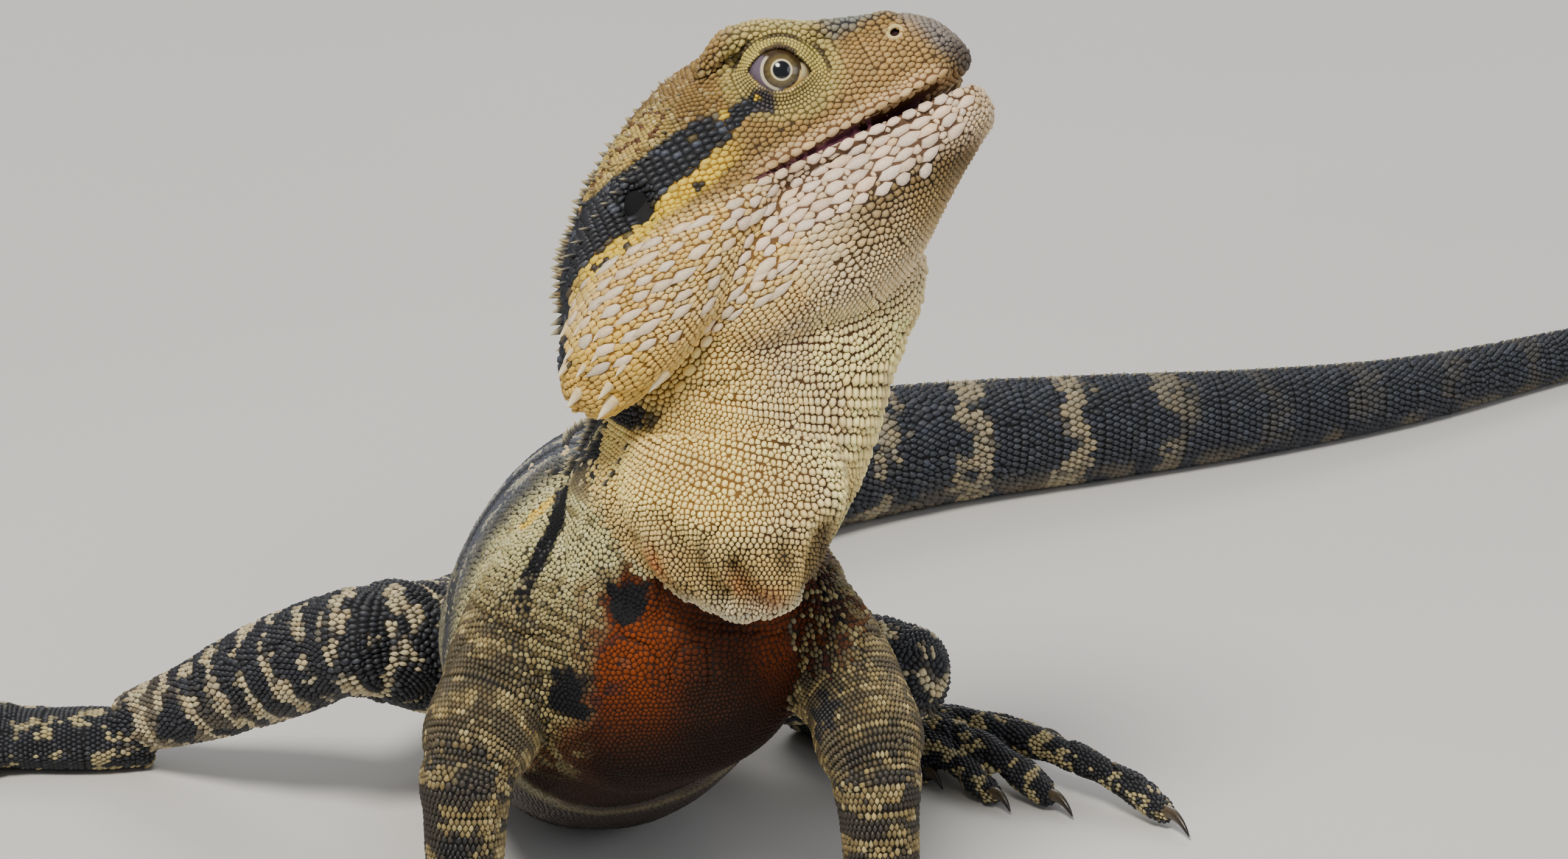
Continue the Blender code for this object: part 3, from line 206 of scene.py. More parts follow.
# Shapes
def smooth_rows(rows, count):
    """Evenly spaced rows along the smooth curve through these, whose first three columns are a place."""
    rows = np.array(rows, float)
    steps = np.maximum(np.linalg.norm(np.diff(rows[:, :3], axis=0), axis=1), 1e-6)
    knots = np.concatenate([[0.0], np.cumsum(steps)])
    slopes = np.diff(rows, axis=0) / steps[:, None]
    tangents = np.empty_like(rows)
    tangents[0], tangents[-1] = slopes[0], slopes[-1]
    before, after = steps[:-1, None], steps[1:, None]
    tangents[1:-1] = (slopes[:-1] * after + slopes[1:] * before) / (before + after)
    at = np.linspace(0.0, knots[-1], count)
    span = np.clip(np.searchsorted(knots, at, side="right") - 1, 0, len(steps) - 1)
    t = ((at - knots[span]) / steps[span])[:, None]
    step = steps[span][:, None]
    return (
        (2 * t**3 - 3 * t**2 + 1) * rows[span]
        + (t**3 - 2 * t**2 + t) * step * tangents[span]
        + (3 * t**2 - 2 * t**3) * rows[span + 1]
        + (t**3 - t**2) * step * tangents[span + 1]
    )


def unit(v):
    return v / np.maximum(np.linalg.norm(v, axis=-1, keepdims=True), 1e-9)


class Limb:
    """A tube of rings round a path: what the skin is made from, and what rows of scales are laid on."""

    def __init__(self, name, rows, ups, axis=None, group=None):
        self.name, self.group = name, group or name
        self.rows = rows
        self.centre = rows[:, :3]
        along = np.empty_like(self.centre)
        along[1:-1] = self.centre[2:] - self.centre[:-2]
        along[0], along[-1] = self.centre[1] - self.centre[0], self.centre[-1] - self.centre[-2]
        self.along = unit(along) if axis is None else np.tile(axis, (len(rows), 1))
        ups = np.broadcast_to(np.asarray(ups, float), self.centre.shape)
        self.across = unit(np.cross(self.along, ups))
        self.up = np.cross(self.across, self.along)
        steps = np.linalg.norm(np.diff(self.centre, axis=0), axis=1)
        self.arc = np.concatenate([[0.0], np.cumsum(steps)])

    def ring(self, i, angles):
        row = self.rows[i]
        upper, lower = (row[6], row[7]) if len(row) > 7 else (2.0, 2.0)
        c, s = np.cos(angles), np.sin(angles)
        power = np.where(c > 0, upper, lower)
        reach = np.where(c > 0, row[4], row[5])
        x = row[3] * np.sign(s) * np.abs(s) ** (2 / power)
        y = reach * np.sign(c) * np.abs(c) ** (2 / power)
        return self.centre[i] + self.across[i] * x[:, None] + self.up[i] * y[:, None]

    def points(self, sides):
        angles = np.linspace(0, 2 * np.pi, sides, endpoint=False)
        return np.array([self.ring(i, angles) for i in range(len(self.rows))])


def vertical(rows):
    return np.array([(0.0, 0.0, 1.0)] * len(rows))


def head_limb(name, table, count, side=0):
    rows = []
    for row in table:
        if side:
            rows.append((*head_point(row[0], row[1] * side, row[2]), *row[3:]))
        else:
            rows.append((*head_point(row[0], 0.0, row[1]), *row[2:]))
    rows = smooth_rows(rows, count)
    return Limb(name, rows, UPWARD, axis=-AHEAD)


def lip_limb(side, table, height_of, inset, radius):
    rows = [(r[0], r[2] - inset, height_of(r), radius, radius, radius) for r in table if 13.0 <= r[0] <= 58.7]
    points = [(*head_point(a, w * side, h), *sizes) for a, w, h, *sizes in rows]
    return Limb("lip", smooth_rows(points, 40), UPWARD)


def plain(name, table, count, ups=None, group=None):
    rows = smooth_rows([(x, y, z, a, u, u) for x, y, z, a, u in table], count)
    return Limb(name, rows, vertical(rows) if ups is None else ups, group=group)


def pouch_limb():
    rows = smooth_rows([(x, y, z, w, t, t, 2.2, 2.2) for x, y, z, w, t in POUCH], 60)
    limb = Limb("pouch", rows, vertical(rows))
    out = unit(np.cross(np.array(POUCH_ACROSS), np.array(POUCH_HANG)))
    limb.across = np.tile(np.array(POUCH_ACROSS), (len(rows), 1))
    limb.up = np.tile(out, (len(rows), 1))
    limb.along = np.tile(unit(np.cross(limb.up[0], limb.across[0])), (len(rows), 1))
    if limb.along[0] @ (limb.centre[-1] - limb.centre[0]) < 0:
        limb.along = -limb.along
    return limb


def foot_limbs(kind, side, place, toes, sole, outer):
    x, y, heading = place
    ahead = np.array((math.cos(math.radians(heading)), math.sin(math.radians(heading)), 0.0))
    aside = np.array((-ahead[1], ahead[0], 0.0)) * outer
    origin = np.array((x, y, 0.0))

    def placed(p):
        return origin + ahead * p[0] + aside * p[1] + np.array((0, 0, p[2]))

    rows = smooth_rows([(*placed((a, 0.0, h)), w, t, t) for a, h, w, t in sole], 40)
    limbs = [Limb(f"{kind}_{side}_sole", rows, vertical(rows), group=f"{kind}_{side}")]
    claws = []
    for n, (route, root, pad) in enumerate(toes):
        route = [placed(p) for p in route]
        flesh = []
        for i, p in enumerate(route[:-1]):
            # a toe swells a little at each joint
            r = root + (pad - root) * i / (len(route) - 2)
            flesh.append((*p, r, r, r))
        forward = unit(route[-1] - route[-2])
        end = route[-2] + forward * pad * 0.8
        flesh.append((*end, pad * 0.62, pad * 0.62, pad * 0.62))
        rows = smooth_rows(flesh, 46)
        swell = 1.0 + 0.07 * np.cos(np.linspace(0, 2 * np.pi * (len(route) - 1), len(rows)))
        rows[:, 3:6] *= swell[:, None]
        limbs.append(Limb(f"{kind}_{side}_toe_{n}", rows, vertical(rows), group=f"{kind}_{side}"))
        claws.append((route[-2], route[-1], forward))
    return limbs, claws


def neck_ups(rows):
    turn = np.radians(rows[:, 6])
    return np.stack([-np.cos(turn), np.sin(turn), np.zeros(len(rows))], axis=1)


def torso_ups(rows):
    lean = np.radians(rows[:, 8])
    return np.stack([-np.sin(lean), np.zeros(len(rows)), np.cos(lean)], axis=1)


def all_limbs():
    limbs = [head_limb("head", SKULL, 90), head_limb("jaw", LOWER_JAW, 70)]
    for side in (1, -1):
        limbs.append(head_limb("jowl", JOWL, 50, side))
        limbs.append(head_limb("brow", BROW, 40, side))
        limbs.append(lip_limb(side, SKULL, lambda r: MOUTH_LINE + 1.4, 0.7, 1.3))
        limbs.append(lip_limb(side, LOWER_JAW, lambda r: r[1] + r[3] - 1.3, 0.6, 1.2))
    rows = smooth_rows(NECK, 90)
    limbs.append(Limb("neck", np.delete(rows, 6, axis=1), neck_ups(rows)))
    limbs.append(pouch_limb())
    rows = smooth_rows(TORSO, 150)
    limbs.append(Limb("torso", rows[:, :8], torso_ups(rows)))
    rows = smooth_rows(TAIL, 460)
    limbs.append(Limb("tail", rows, vertical(rows)))
    claws = []
    for side, outer in (("left", 1), ("right", -1)):
        limbs.append(plain(f"upper_arm_{side}", UPPER_ARM[side], 50))
        limbs.append(plain(f"forearm_{side}", FOREARM[side], 50, (0.0, 1.0, 0.0)))
        limbs.append(plain(f"thigh_{side}", THIGH[side], 50))
        limbs.append(plain(f"shank_{side}", SHANK[side], 60))
        for kind, place, toes, sole in (("hand", HAND_PLACE, HAND_TOES, PALM),
                                        ("foot", FOOT_PLACE, FOOT_TOES, SOLE)):
            made, tips = foot_limbs(kind, side, place[side], toes, sole, outer)
            limbs += made
            claws += tips
    return limbs, claws


# Meshes
def to_world(points):
    return ((points + SHIFT) * MM).astype(np.float32)


def numpy_mesh(name, points, faces_flat, face_sizes, world=True):
    mesh = bpy.data.meshes.new(name)
    mesh.vertices.add(len(points))
    mesh.vertices.foreach_set("co", (to_world(points) if world else points.astype(np.float32)).ravel())
    mesh.loops.add(len(faces_flat))
    mesh.loops.foreach_set("vertex_index", np.asarray(faces_flat, np.int32))
    starts = np.concatenate([[0], np.cumsum(face_sizes)[:-1]]).astype(np.int32)
    mesh.polygons.add(len(face_sizes))
    mesh.polygons.foreach_set("loop_start", starts)
    mesh.update(calc_edges=True)
    mesh.validate()
    mesh.shade_smooth()
    return mesh


def add_object(name, mesh, material=None):
    obj = bpy.data.objects.new(name, mesh)
    bpy.context.scene.collection.objects.link(obj)
    if material:
        mesh.materials.append(material)
    return obj


def tube_arrays(rings):
    """Points and triangles of a closed tube."""
    n, sides = rings.shape[:2]
    points = np.concatenate([rings.reshape(-1, 3), rings[:1].mean(1), rings[-1:].mean(1)])
    i, k = np.meshgrid(np.arange(n - 1), np.arange(sides), indexing="ij")
    a, b = (i * sides + k).ravel(), (i * sides + (k + 1) % sides).ravel()
    tris = [np.stack([a, b, b + sides], 1), np.stack([a, b + sides, a + sides], 1)]
    k = np.arange(sides)
    first, last = n * sides, n * sides + 1
    tris.append(np.stack([(k + 1) % sides, k, np.full(sides, first)], 1))
    tail = (n - 1) * sides
    tris.append(np.stack([tail + k, tail + (k + 1) % sides, np.full(sides, last)], 1))
    return points, np.concatenate(tris)


def ball_arrays(centre, axes, radii, segments=40, rings=24):
    points, lat = [], np.linspace(0, np.pi, rings)
    lon = np.linspace(0, 2 * np.pi, segments, endpoint=False)
    for t in lat[1:-1]:
        local = np.stack([np.sin(t) * np.cos(lon), np.sin(t) * np.sin(lon), np.full(segments, np.cos(t))], 1)
        points.append(centre + sum(local[:, j:j + 1] * radii[j] * axes[j] for j in range(3)))
    return tube_arrays(np.array(points))


def mesh_arrays(obj):
    mesh = obj.data
    points = np.empty(len(mesh.vertices) * 3, np.float32)
    mesh.vertices.foreach_get("co", points)
    loops = np.empty(len(mesh.loops), np.int32)
    mesh.loops.foreach_get("vertex_index", loops)
    sizes = np.empty(len(mesh.polygons), np.int32)
    mesh.polygons.foreach_get("loop_total", sizes)
    return points.reshape(-1, 3).astype(float), loops, sizes


def set_marking(mesh, colour):
    """Gives each point its colour: one colour for all of them, or a row for each."""
    marking_of = np.ones((len(mesh.vertices), 4), np.float32)
    marking_of[:, :3] = colour
    attribute = mesh.color_attributes.new("marking", "FLOAT_COLOR", "POINT")
    attribute.data.foreach_set("color", marking_of.ravel())


def vertex_normals(mesh):
    normals = np.empty(len(mesh.vertices) * 3, np.float32)
    mesh.vertices.foreach_get("normal", normals)
    return normals.reshape(-1, 3).astype(float)


def smoothstep(x, a, b):
    t = np.clip((x - a) / (b - a), 0.0, 1.0)
    return t * t * (3 - 2 * t)


def noise(points, scale, seed=0.0):
    """Smooth noise from 0 to 1 over space."""
    q = points / scale + seed * 17.13
    cell = np.floor(q)
    f = q - cell
    f = f * f * (3 - 2 * f)
    total = np.zeros(len(points))
    for dx in (0, 1):
        for dy in (0, 1):
            for dz in (0, 1):
                c = cell + (dx, dy, dz)
                value = np.sin(c @ np.array((127.1, 311.7, 74.7)) + seed) * 43758.5453
                value -= np.floor(value)
                weight = (f[:, 0] if dx else 1 - f[:, 0]) * (f[:, 1] if dy else 1 - f[:, 1])
                total += weight * (f[:, 2] if dz else 1 - f[:, 2]) * value
    return total


def build_skin(limbs):
    """All the flesh fused into one closed surface, smoothed, with its sockets pressed in."""
    points, tris, offset = [], [], 0
    pieces = [tube_arrays(limb.points(44 if limb.group in ("head", "jaw", "neck", "torso", "pouch") else 26))
              for limb in limbs]
    lid = EYE_RADIUS + 0.95
    for side in (1, -1):
        eye = head_point(EYE_CENTRE[0], EYE_CENTRE[1] * side, EYE_CENTRE[2])
        pieces.append(ball_arrays(eye, (AHEAD, UPWARD, RIGHTWARD * side), (lid * 1.12, lid, lid)))
    for p, t in pieces:
        points.append(p)
        tris.append(t + offset)
        offset += len(p)
    points, tris = np.concatenate(points), np.concatenate(tris)
    mesh = numpy_mesh("skin_source", points, tris.ravel(), np.full(len(tris), 3), world=False)
    source = add_object("skin_source", mesh)
    step = source.modifiers.new("fuse", "REMESH")
    step.mode, step.voxel_size, step.use_smooth_shade = "VOXEL", VOXEL, True
    ease = source.modifiers.new("ease", "SMOOTH")
    ease.factor, ease.iterations = 0.5, 5
    fused = bpy.data.meshes.new_from_object(source.evaluated_get(bpy.context.evaluated_depsgraph_get()))
    bpy.data.objects.remove(source, do_unlink=True)
    skin = add_object("skin", fused)
    places = mesh_arrays(skin)[0]
    normals = vertex_normals(fused)
    places = places - normals * (SKIN_DEPTH + fold_depth(places))[:, None]
    places = press_sockets(places)
    places[:, 2] = np.maximum(places[:, 2], 0.02)
    fused.vertices.foreach_set("co", places.astype(np.float32).ravel())
    fused.update()
    return skin


LID_CENTRE = (33.0, 7.6)
LID_SLANT = math.radians(-31.0)
LID_LONG, LID_HIGH = 5.2, 3.45  # half the opening between the lids


def eye_plane(f, h):
    """Along and across the opening between the lids, from its centre. It slants down towards the front."""
    a, b = f - LID_CENTRE[0], h - LID_CENTRE[1]
    c, s = math.cos(LID_SLANT), math.sin(LID_SLANT)
    return a * c + b * s, b * c - a * s


def lid_level(f, h):
    """Under 1 inside the almond opening between the lids."""
    a, b = eye_plane(f, h)
    half = LID_HIGH * np.maximum(1 - (np.abs(a) / LID_LONG) ** 1.9, 0.0)
    return np.maximum(np.abs(b) / np.maximum(half, 1e-3), np.abs(a) / LID_LONG)


MOUTH_BACK = 20.5
LOWER_LIP = [(20.5, -6.4), (28.0, -6.95), (36.0, -7.4), (44.0, -7.9), (50.0, -8.2), (55.5, -8.6),
             (58.6, -9.0), (59.5, -9.6)]


def mouth_opening(f, h):
    """How far inside the open mouth's slit, in millimetres. It is negative outside."""
    lower = np.interp(f, *np.array(LOWER_LIP).T)
    inside = np.minimum(MOUTH_LINE + 0.1 - h, h - lower)
    return np.where(f > MOUTH_BACK, inside, -1.0)


# hollows of the let-down throat, as lines in x and z
HOLLOWS = (((-23.0, 87.0), (-18.5, 81.0), (-14.5, 75.5)), ((-12.5, 81.0), (-8.0, 73.5)),
           ((3.5, 84.0), (0.5, 75.0)))


def segment_distance(points, line):
    """Distance of points to a line of segments, in a plane."""
    best = np.full(len(points), 1e9)
    for a, b in zip(line[:-1], line[1:]):
        t = np.clip(((points - a) @ (b - a)) / ((b - a) @ (b - a)), 0, 1)
        best = np.minimum(best, np.linalg.norm(points - (a + t[:, None] * (b - a)), axis=1))
    return best


def hollow_share(points):
    """1 in the middle of the pouch's hollows, and 0 away from them."""
    plane = points[:, (0, 2)]
    share = np.zeros(len(points))
    for line in HOLLOWS:
        share = np.maximum(share, np.exp(-(segment_distance(plane, np.array(line)) / 2.1) ** 2))
    return share * smoothstep(-points[:, 1], 6.0, 13.0)


def fold_depth(p):
    """How deep the loose skin is folded at points on the neck, the pouch and the shoulders."""
    x, y, z = p.T
    tall = noise(p * (1.0, 1.0, 0.22), 4.6, 3.3)
    crease = np.clip(1.0 - np.abs(tall - 0.5) / 0.16, 0.0, 1.0) ** 1.2
    pouch = smoothstep(-z, -98.0, -84.0) * smoothstep(z, 66.0, 71.0) * smoothstep(-y, 0.0, 7.0)
    depth = 0.9 * crease * pouch + 1.9 * hollow_share(p)
    level = noise(p * (0.30, 0.30, 1.0), 4.4, 7.7)
    ring = np.clip(1.0 - np.abs(level - 0.5) / 0.10, 0.0, 1.0) ** 1.5
    collar = smoothstep(z, 92.0, 99.0) * smoothstep(-z, -116.0, -106.0) * smoothstep(-x, 0.0, 14.0)
    depth = depth + 0.8 * ring * collar
    loose = noise(p * (1.0, 0.6, 0.5), 5.2, 5.1)
    wrinkle = np.clip(1.0 - np.abs(loose - 0.5) / 0.09, 0.0, 1.0) ** 1.5
    shoulder = smoothstep(z, 52, 60) * smoothstep(-z, -84, -74) * smoothstep(-y, -26, -14)
    depth = depth + 0.75 * wrinkle * shoulder * (1 - pouch)
    flank = smoothstep(y, 26.0, 36.0) * smoothstep(-y, -100.0, -84.0) * smoothstep(-z, -46.0, -30.0)
    return depth + 0.6 * wrinkle * flank


def press_sockets(places):
    f, r, h = in_head(places).T
    for side in (1, -1):
        out = r * side
        a, b = eye_plane(f, h)
        near = (np.hypot(a, b) < 9.0) & (out > 8.0)
        sunk = smoothstep(-lid_level(f, h), -1.10, -0.92) * near
        places = places - (RIGHTWARD * side) * (sunk * 2.6)[:, None]
        crease = np.exp(-((np.hypot(a / (LID_LONG + 2.6), b / (LID_HIGH + 2.5)) - 1.0) / 0.07) ** 2)
        places = places - (RIGHTWARD * side) * (0.55 * crease * near * smoothstep(b, -0.5, 1.5))[:, None]
        a, b = f - NOSTRIL_CENTRE[0], h - NOSTRIL_CENTRE[2]
        sunk = smoothstep(-np.hypot(a, b), -1.1, -0.5) * (out > 4.0)
        places = places - (RIGHTWARD * side) * (sunk * 1.2)[:, None]
        a, b = f - EAR_CENTRE[0], h - EAR_CENTRE[2]
        sunk = smoothstep(-np.hypot(a / 0.8, b), -EAR_RADIUS - 0.6, -EAR_RADIUS + 1.6) * (out > 12.0)
        places = places - (RIGHTWARD * side) * (sunk * 1.9)[:, None]
        slit = smoothstep(mouth_opening(f, h), -0.35, 0.15) * (out > 2.0) * smoothstep(f, 20.5, 26.0)
        places = places - (RIGHTWARD * side) * (slit * 1.5)[:, None]
    return places


# Where each point of the body is
def kd_tree(points):
    tree = KDTree(len(points))
    for i, p in enumerate(points):
        tree.insert(p, i)
    tree.balance()
    return tree


class Map:
    """Tells any point on the skin its part, and how far along and round it lies."""

    def __init__(self, limbs, tree):
        self.limbs = limbs
        points, self.limb, self.share, self.angle = [], [], [], []
        sides = 40
        angles = np.linspace(0, 2 * np.pi, sides, endpoint=False)
        for n, limb in enumerate(limbs):
            rings = list(limb.points(sides))
            arcs = list(limb.arc)
            for end in (0, -1):
                # the ends are closed, so they have points too
                for share in (0.75, 0.5, 0.25, 0.02):
                    rings.append(limb.centre[end] + (rings[0 if end == 0 else len(limb.arc) - 1]
                                                     - limb.centre[end]) * share)
                    arcs.append(limb.arc[end])
            points.append(np.array(rings).reshape(-1, 3))
            self.limb.append(np.full(len(rings) * sides, n))
            self.share.append(np.repeat(arcs, sides))
            self.angle.append(np.tile(angles, len(rings)))
        points = np.concatenate(points)
        seen = np.array([tree.find_nearest(Vector(p), 2.4)[0] is not None for p in points])
        self.points = points[seen]
        self.limb, self.share = np.concatenate(self.limb)[seen], np.concatenate(self.share)[seen]
        self.angle = np.concatenate(self.angle)[seen]
        self.tree = kd_tree(self.points)
        self.names = [limb.name for limb in limbs]

    def find(self, points):
        return np.array([self.tree.find(p)[1] for p in points])


# Sizes of scales
def head_size(f, r, h):
    """Width of the scales on the head: the mean of their length and breadth."""
    side = np.abs(r)
    size = 0.92 + 0.1 * smoothstep(f, 38, 54)
    cheek = smoothstep(-h, -7.0, -1.0) * smoothstep(side, 6.0, 10.0)
    size = size + (1.05 - size) * cheek
    stripe = in_stripe(f, h) * smoothstep(side, 7.0, 11.0) * smoothstep(-f, -25.0, -18.0)
    size = size + (1.5 - size) * stripe
    jaw = smoothstep(-h, 6.0, 8.0) * smoothstep(side, 6.5, 9.0)
    size = size + (1.4 - size) * jaw
    jowl = smoothstep(-f, -24.0, -14.0) * smoothstep(f, -13.0, -6.0) * smoothstep(-h, 4.0, 8.0)
    size = size + (1.15 - size) * jowl * smoothstep(side, 8.0, 13.0)
    rear = smoothstep(-f, 6.0, 13.0) * smoothstep(-h, 5.0, 9.0)
    size = size + (1.3 - size) * rear
    under = smoothstep(-h, 13.0, 19.0 + 4.0 * smoothstep(-f, -20, 0)) * smoothstep(-side, -12.5, -9.0)
    return size + (1.0 - size) * under


def head_stretch(f, r, h):
    """How many times longer than broad the scales of the head are."""
    side = np.abs(r)
    stretch = 1.25 + 0.0 * f
    stripe = in_stripe(f, h) * smoothstep(side, 7.0, 11.0)
    stretch = stretch + (1.55 - stretch) * stripe
    jaw = smoothstep(-h, 4.0, 7.0) * smoothstep(side, 7.0, 10.0)
    stretch = stretch + (1.75 - stretch) * jaw
    under = smoothstep(-h, 13.0, 19.0 + 4.0 * smoothstep(-f, -20, 0)) * smoothstep(-side, -12.5, -9.0)
    return stretch + (1.0 - stretch) * under


def neck_size(x, z, angle):
    """Largest at the front of the throat, and small at its side, where it meets the shoulder."""
    throat = smoothstep(np.abs(angle - np.pi) * -1, -1.25, -0.45)
    front = smoothstep(z, 86.0, 95.0) * smoothstep(-z, -128.0, -116.0) * smoothstep(x, -22.0, -4.0)
    big = 1.15 + 0.75 * front
    return 0.88 + (big - 0.88) * throat


def wanted_shape(name, points, arc, angle):
    """The size and the stretch of a scale there."""
    n = len(points)
    if name in ("head", "jaw", "jowl", "brow", "lip", "head_shape"):
        f, r, h = in_head(points).T
        return head_size(f, r, h), head_stretch(f, r, h)
    if name == "neck":
        size = neck_size(points[:, 0], points[:, 2], angle)
        return size, 0.95 + 0.5 * smoothstep(size, 1.1, 1.5)
    if name == "pouch":
        big = 1.1 + 0.5 * smoothstep(points[:, 0], -22.0, -6.0)
        return big + (0.88 - big) * smoothstep(-points[:, 2], -92.0, -80.0), np.full(n, 1.0)
    if name == "chest":
        return np.full(n, 0.86), np.full(n, 1.0)
    if name == "torso":
        return 0.94 + 0.2 * smoothstep(points[:, 1], 20.0, 60.0), np.full(n, 1.0)
    if name == "tail":
        return 1.62 - 0.75 * smoothstep(arc, 60.0, 560.0), np.full(n, 1.35)
    if name.startswith("upper_arm"):
        return np.full(n, 1.0), np.full(n, 1.25)
    if name.startswith("forearm"):
        return 1.08 - 0.1 * smoothstep(arc, 10, 40), np.full(n, 1.25)
    if name.startswith(("thigh", "shank")):
        return np.full(n, 1.2), np.full(n, 1.25)
    return np.full(n, 0.95), np.full(n, 1.1)


STRIPE_LOW = [(-20.2, -17.4), (-19.1, -13.0), (-14.5, -6.2), (-11.3, -4.4), (-5.8, -3.6), (1.1, -3.4),
              (4.4, -1.6), (15.6, 0.2), (22.0, 2.2), (29.0, 5.4)]
STRIPE_HIGH = [(-9.0, 30.0), (-5.0, 6.2), (3.1, 6.6), (17.1, 7.2), (23.0, 6.6), (29.0, 6.2)]


def in_stripe(f, h):
    """1 inside the black band behind the eye, with soft edges."""
    lower = np.interp(f, *np.array(STRIPE_LOW).T)
    upper = np.interp(f, *np.array(STRIPE_HIGH).T)
    return smoothstep(h - lower, -0.4, 0.5) * smoothstep(upper - h, -0.4, 0.5) * smoothstep(-f, -29.5, -27.5)


# Laying rows of scales
CLASSES = (0.75, 0.86, 0.98, 1.12, 1.3, 1.5, 1.72)
STRETCHES = (0.95, 1.25, 1.7)
# the columns of a row that stands for one scale
LONG, WIDE, MARK, KIND = 3, 4, 8, 9
# what a row was laid on, where that decides its colour
LAID_ON = ("", "pouch", "torso")


def scale_row(place, size, stretch, flow, mark=0, kind=0):
    root = math.sqrt(stretch)
    return (*place, size * root, size / root, *flow, mark, kind)


def nearest_class(values, classes):
    return np.argmin(np.abs(np.log(np.array(classes)[None, :] / values[:, None])), axis=1)


def lay_rows(limb, tree, size_class, stretch_class, sector=None):
    """Staggered rows of scales of one size and shape on the skin round a limb."""
    size, stretch = CLASSES[size_class], STRETCHES[stretch_class]
    kind = {"pouch": 1, "chest": 2}.get(limb.name, 0)
    fine = np.linspace(0, 2 * np.pi, 97)
    pitch, width = 0.88 * size * math.sqrt(stretch), size / math.sqrt(stretch)
    found = []
    s, ring_number, count = pitch * 0.3, 0, 0
    while s < limb.arc[-1]:
        i = int(np.clip(np.searchsorted(limb.arc, s), 0, len(limb.arc) - 1))
        outline = limb.ring(i, fine)
        run = np.concatenate([[0], np.cumsum(np.linalg.norm(np.diff(outline, axis=0), axis=1))])
        fit = run[-1] / width
        if not count or abs(fit / count - 1) > 0.10:
            count = max(3, int(round(fit)))
        at = (np.arange(count) + 0.5 * (ring_number % 2)) / count
        angles = np.interp(at * run[-1], run, fine)
        if sector is not None:
            angles = angles[np.abs((angles + np.pi) % (2 * np.pi) - np.pi) < sector]
        if len(angles):
            places = limb.ring(i, angles)
            places = places + RANDOM.normal(0.0, 0.055 * size, places.shape)
            sizes, stretches = wanted_shape(limb.name, places, np.full(len(places), s), angles)
            sizes = sizes * (0.95 + 0.10 * noise(places, 2.2, 5.0))
            chosen = (nearest_class(sizes, CLASSES) == size_class) & (
                nearest_class(stretches, STRETCHES) == stretch_class)
            if limb.name == "pouch":
                chosen &= places[:, 2] < 94.0 - 9.0 * noise(places, 6.0, 31.0)
            centre = Vector(limb.centre[i])
            for place in places[chosen]:
                out = Vector(place) - centre
                reach = out.length
                out.normalize()
                start = reach * 1.22 + 2.0
                hit, normal, _, distance = tree.ray_cast(centre + out * start, -out, reach + 2.0)
                if hit is None or normal.dot(out) < 0.12:
                    continue
                from_centre = start - distance
                if 0.5 * reach < from_centre < 1.22 * reach + 1.9:
                    found.append(scale_row(hit, size, stretch, limb.along[i], 0, kind))
        s += pitch
        ring_number += 1
    return np.array(found).reshape(-1, 10)


def crowding(apart, flow, long, wide):
    """The distance between two scales, where 1 is side by side."""
    along = (apart * flow).sum(-1)
    aside = np.maximum((apart ** 2).sum(-1) - along ** 2, 0.0)
    return np.sqrt(aside / wide ** 2 + (along / long) ** 2)


def thin_out(kept, new, share, beside_plates=0.0):
    """The new rows that don't lie on a row that is kept. Those beside a plate can be held further off."""
    if not len(kept) or not len(new):
        return new
    low, high = new[:, :3].min(0) - 4.0, new[:, :3].max(0) + 4.0
    kept = kept[((kept[:, :3] > low) & (kept[:, :3] < high)).all(axis=1)]
    if len(kept) < 6:
        return new
    tree = kd_tree(kept[:, :3])
    near = np.array([[hit[1] for hit in tree.find_n(row[:3], 6)] for row in new])
    apart = kept[near][:, :, :3] - new[:, None, :3]
    level = crowding(apart, kept[near][:, :, 5:8], 0.5 * (kept[near][:, :, LONG] + new[:, None, LONG]),
                     0.5 * (kept[near][:, :, WIDE] + new[:, None, WIDE]))
    allowed = np.where(kept[near][:, :, MARK] > 1, max(share, beside_plates), share)
    return new[(level / allowed).min(axis=1) > 1.0]


def fill_gaps(kept, points):
    """Adds scales where the skin is left bare, such as at the ends of limbs, in folds and between plates."""
    tree = kd_tree(kept[:, :3])
    near = np.array([[hit[1] for hit in tree.find_n(p, 6)] for p in points])
    close = kept[near]
    apart = close[:, :, :3] - points[:, None, :]
    level = crowding(apart, close[:, :, 5:8], close[:, :, LONG], close[:, :, WIDE])
    room = (np.linalg.norm(apart, axis=2) * (1 - 0.5 / np.maximum(level, 1e-6))).min(axis=1)
    bare = np.nonzero(room > LEAST_ROOM)[0]
    bare = bare[np.argsort(-room[bare])]
    cell = 1.3
    grid, added = {}, []
    for i in bare:
        p, model = points[i], kept[near[i, 0]]
        size = min(max(1.9 * room[i], 0.62), 1.2 * math.sqrt(model[LONG] * model[WIDE]), 1.25)
        key = tuple(np.floor(p / cell).astype(int))
        clear = True
        for shift in NEAR_CELLS:
            for q, other in grid.get((key[0] + shift[0], key[1] + shift[1], key[2] + shift[2]), ()):
                apart = (p[0] - q[0]) ** 2 + (p[1] - q[1]) ** 2 + (p[2] - q[2]) ** 2
                if apart < (0.43 * (size + other)) ** 2:
                    clear = False
                    break
            if not clear:
                break
        if clear:
            grid.setdefault(key, []).append((p, size))
            added.append(scale_row(p, size, 1.0, model[5:8], 0, model[KIND]))
    return np.array(added).reshape(-1, 10)


LEAST_ROOM = 0.34  # bare skin this far from the nearest scale's edge takes a scale of its own
NEAR_CELLS = [(a, b, c) for a in (-1, 0, 1) for b in (-1, 0, 1) for c in (-1, 0, 1)]


def neighbours(places, count):
    tree = kd_tree(places)
    return np.array([[hit[1] for hit in tree.find_n(p, count + 1)[1:]] for p in places])


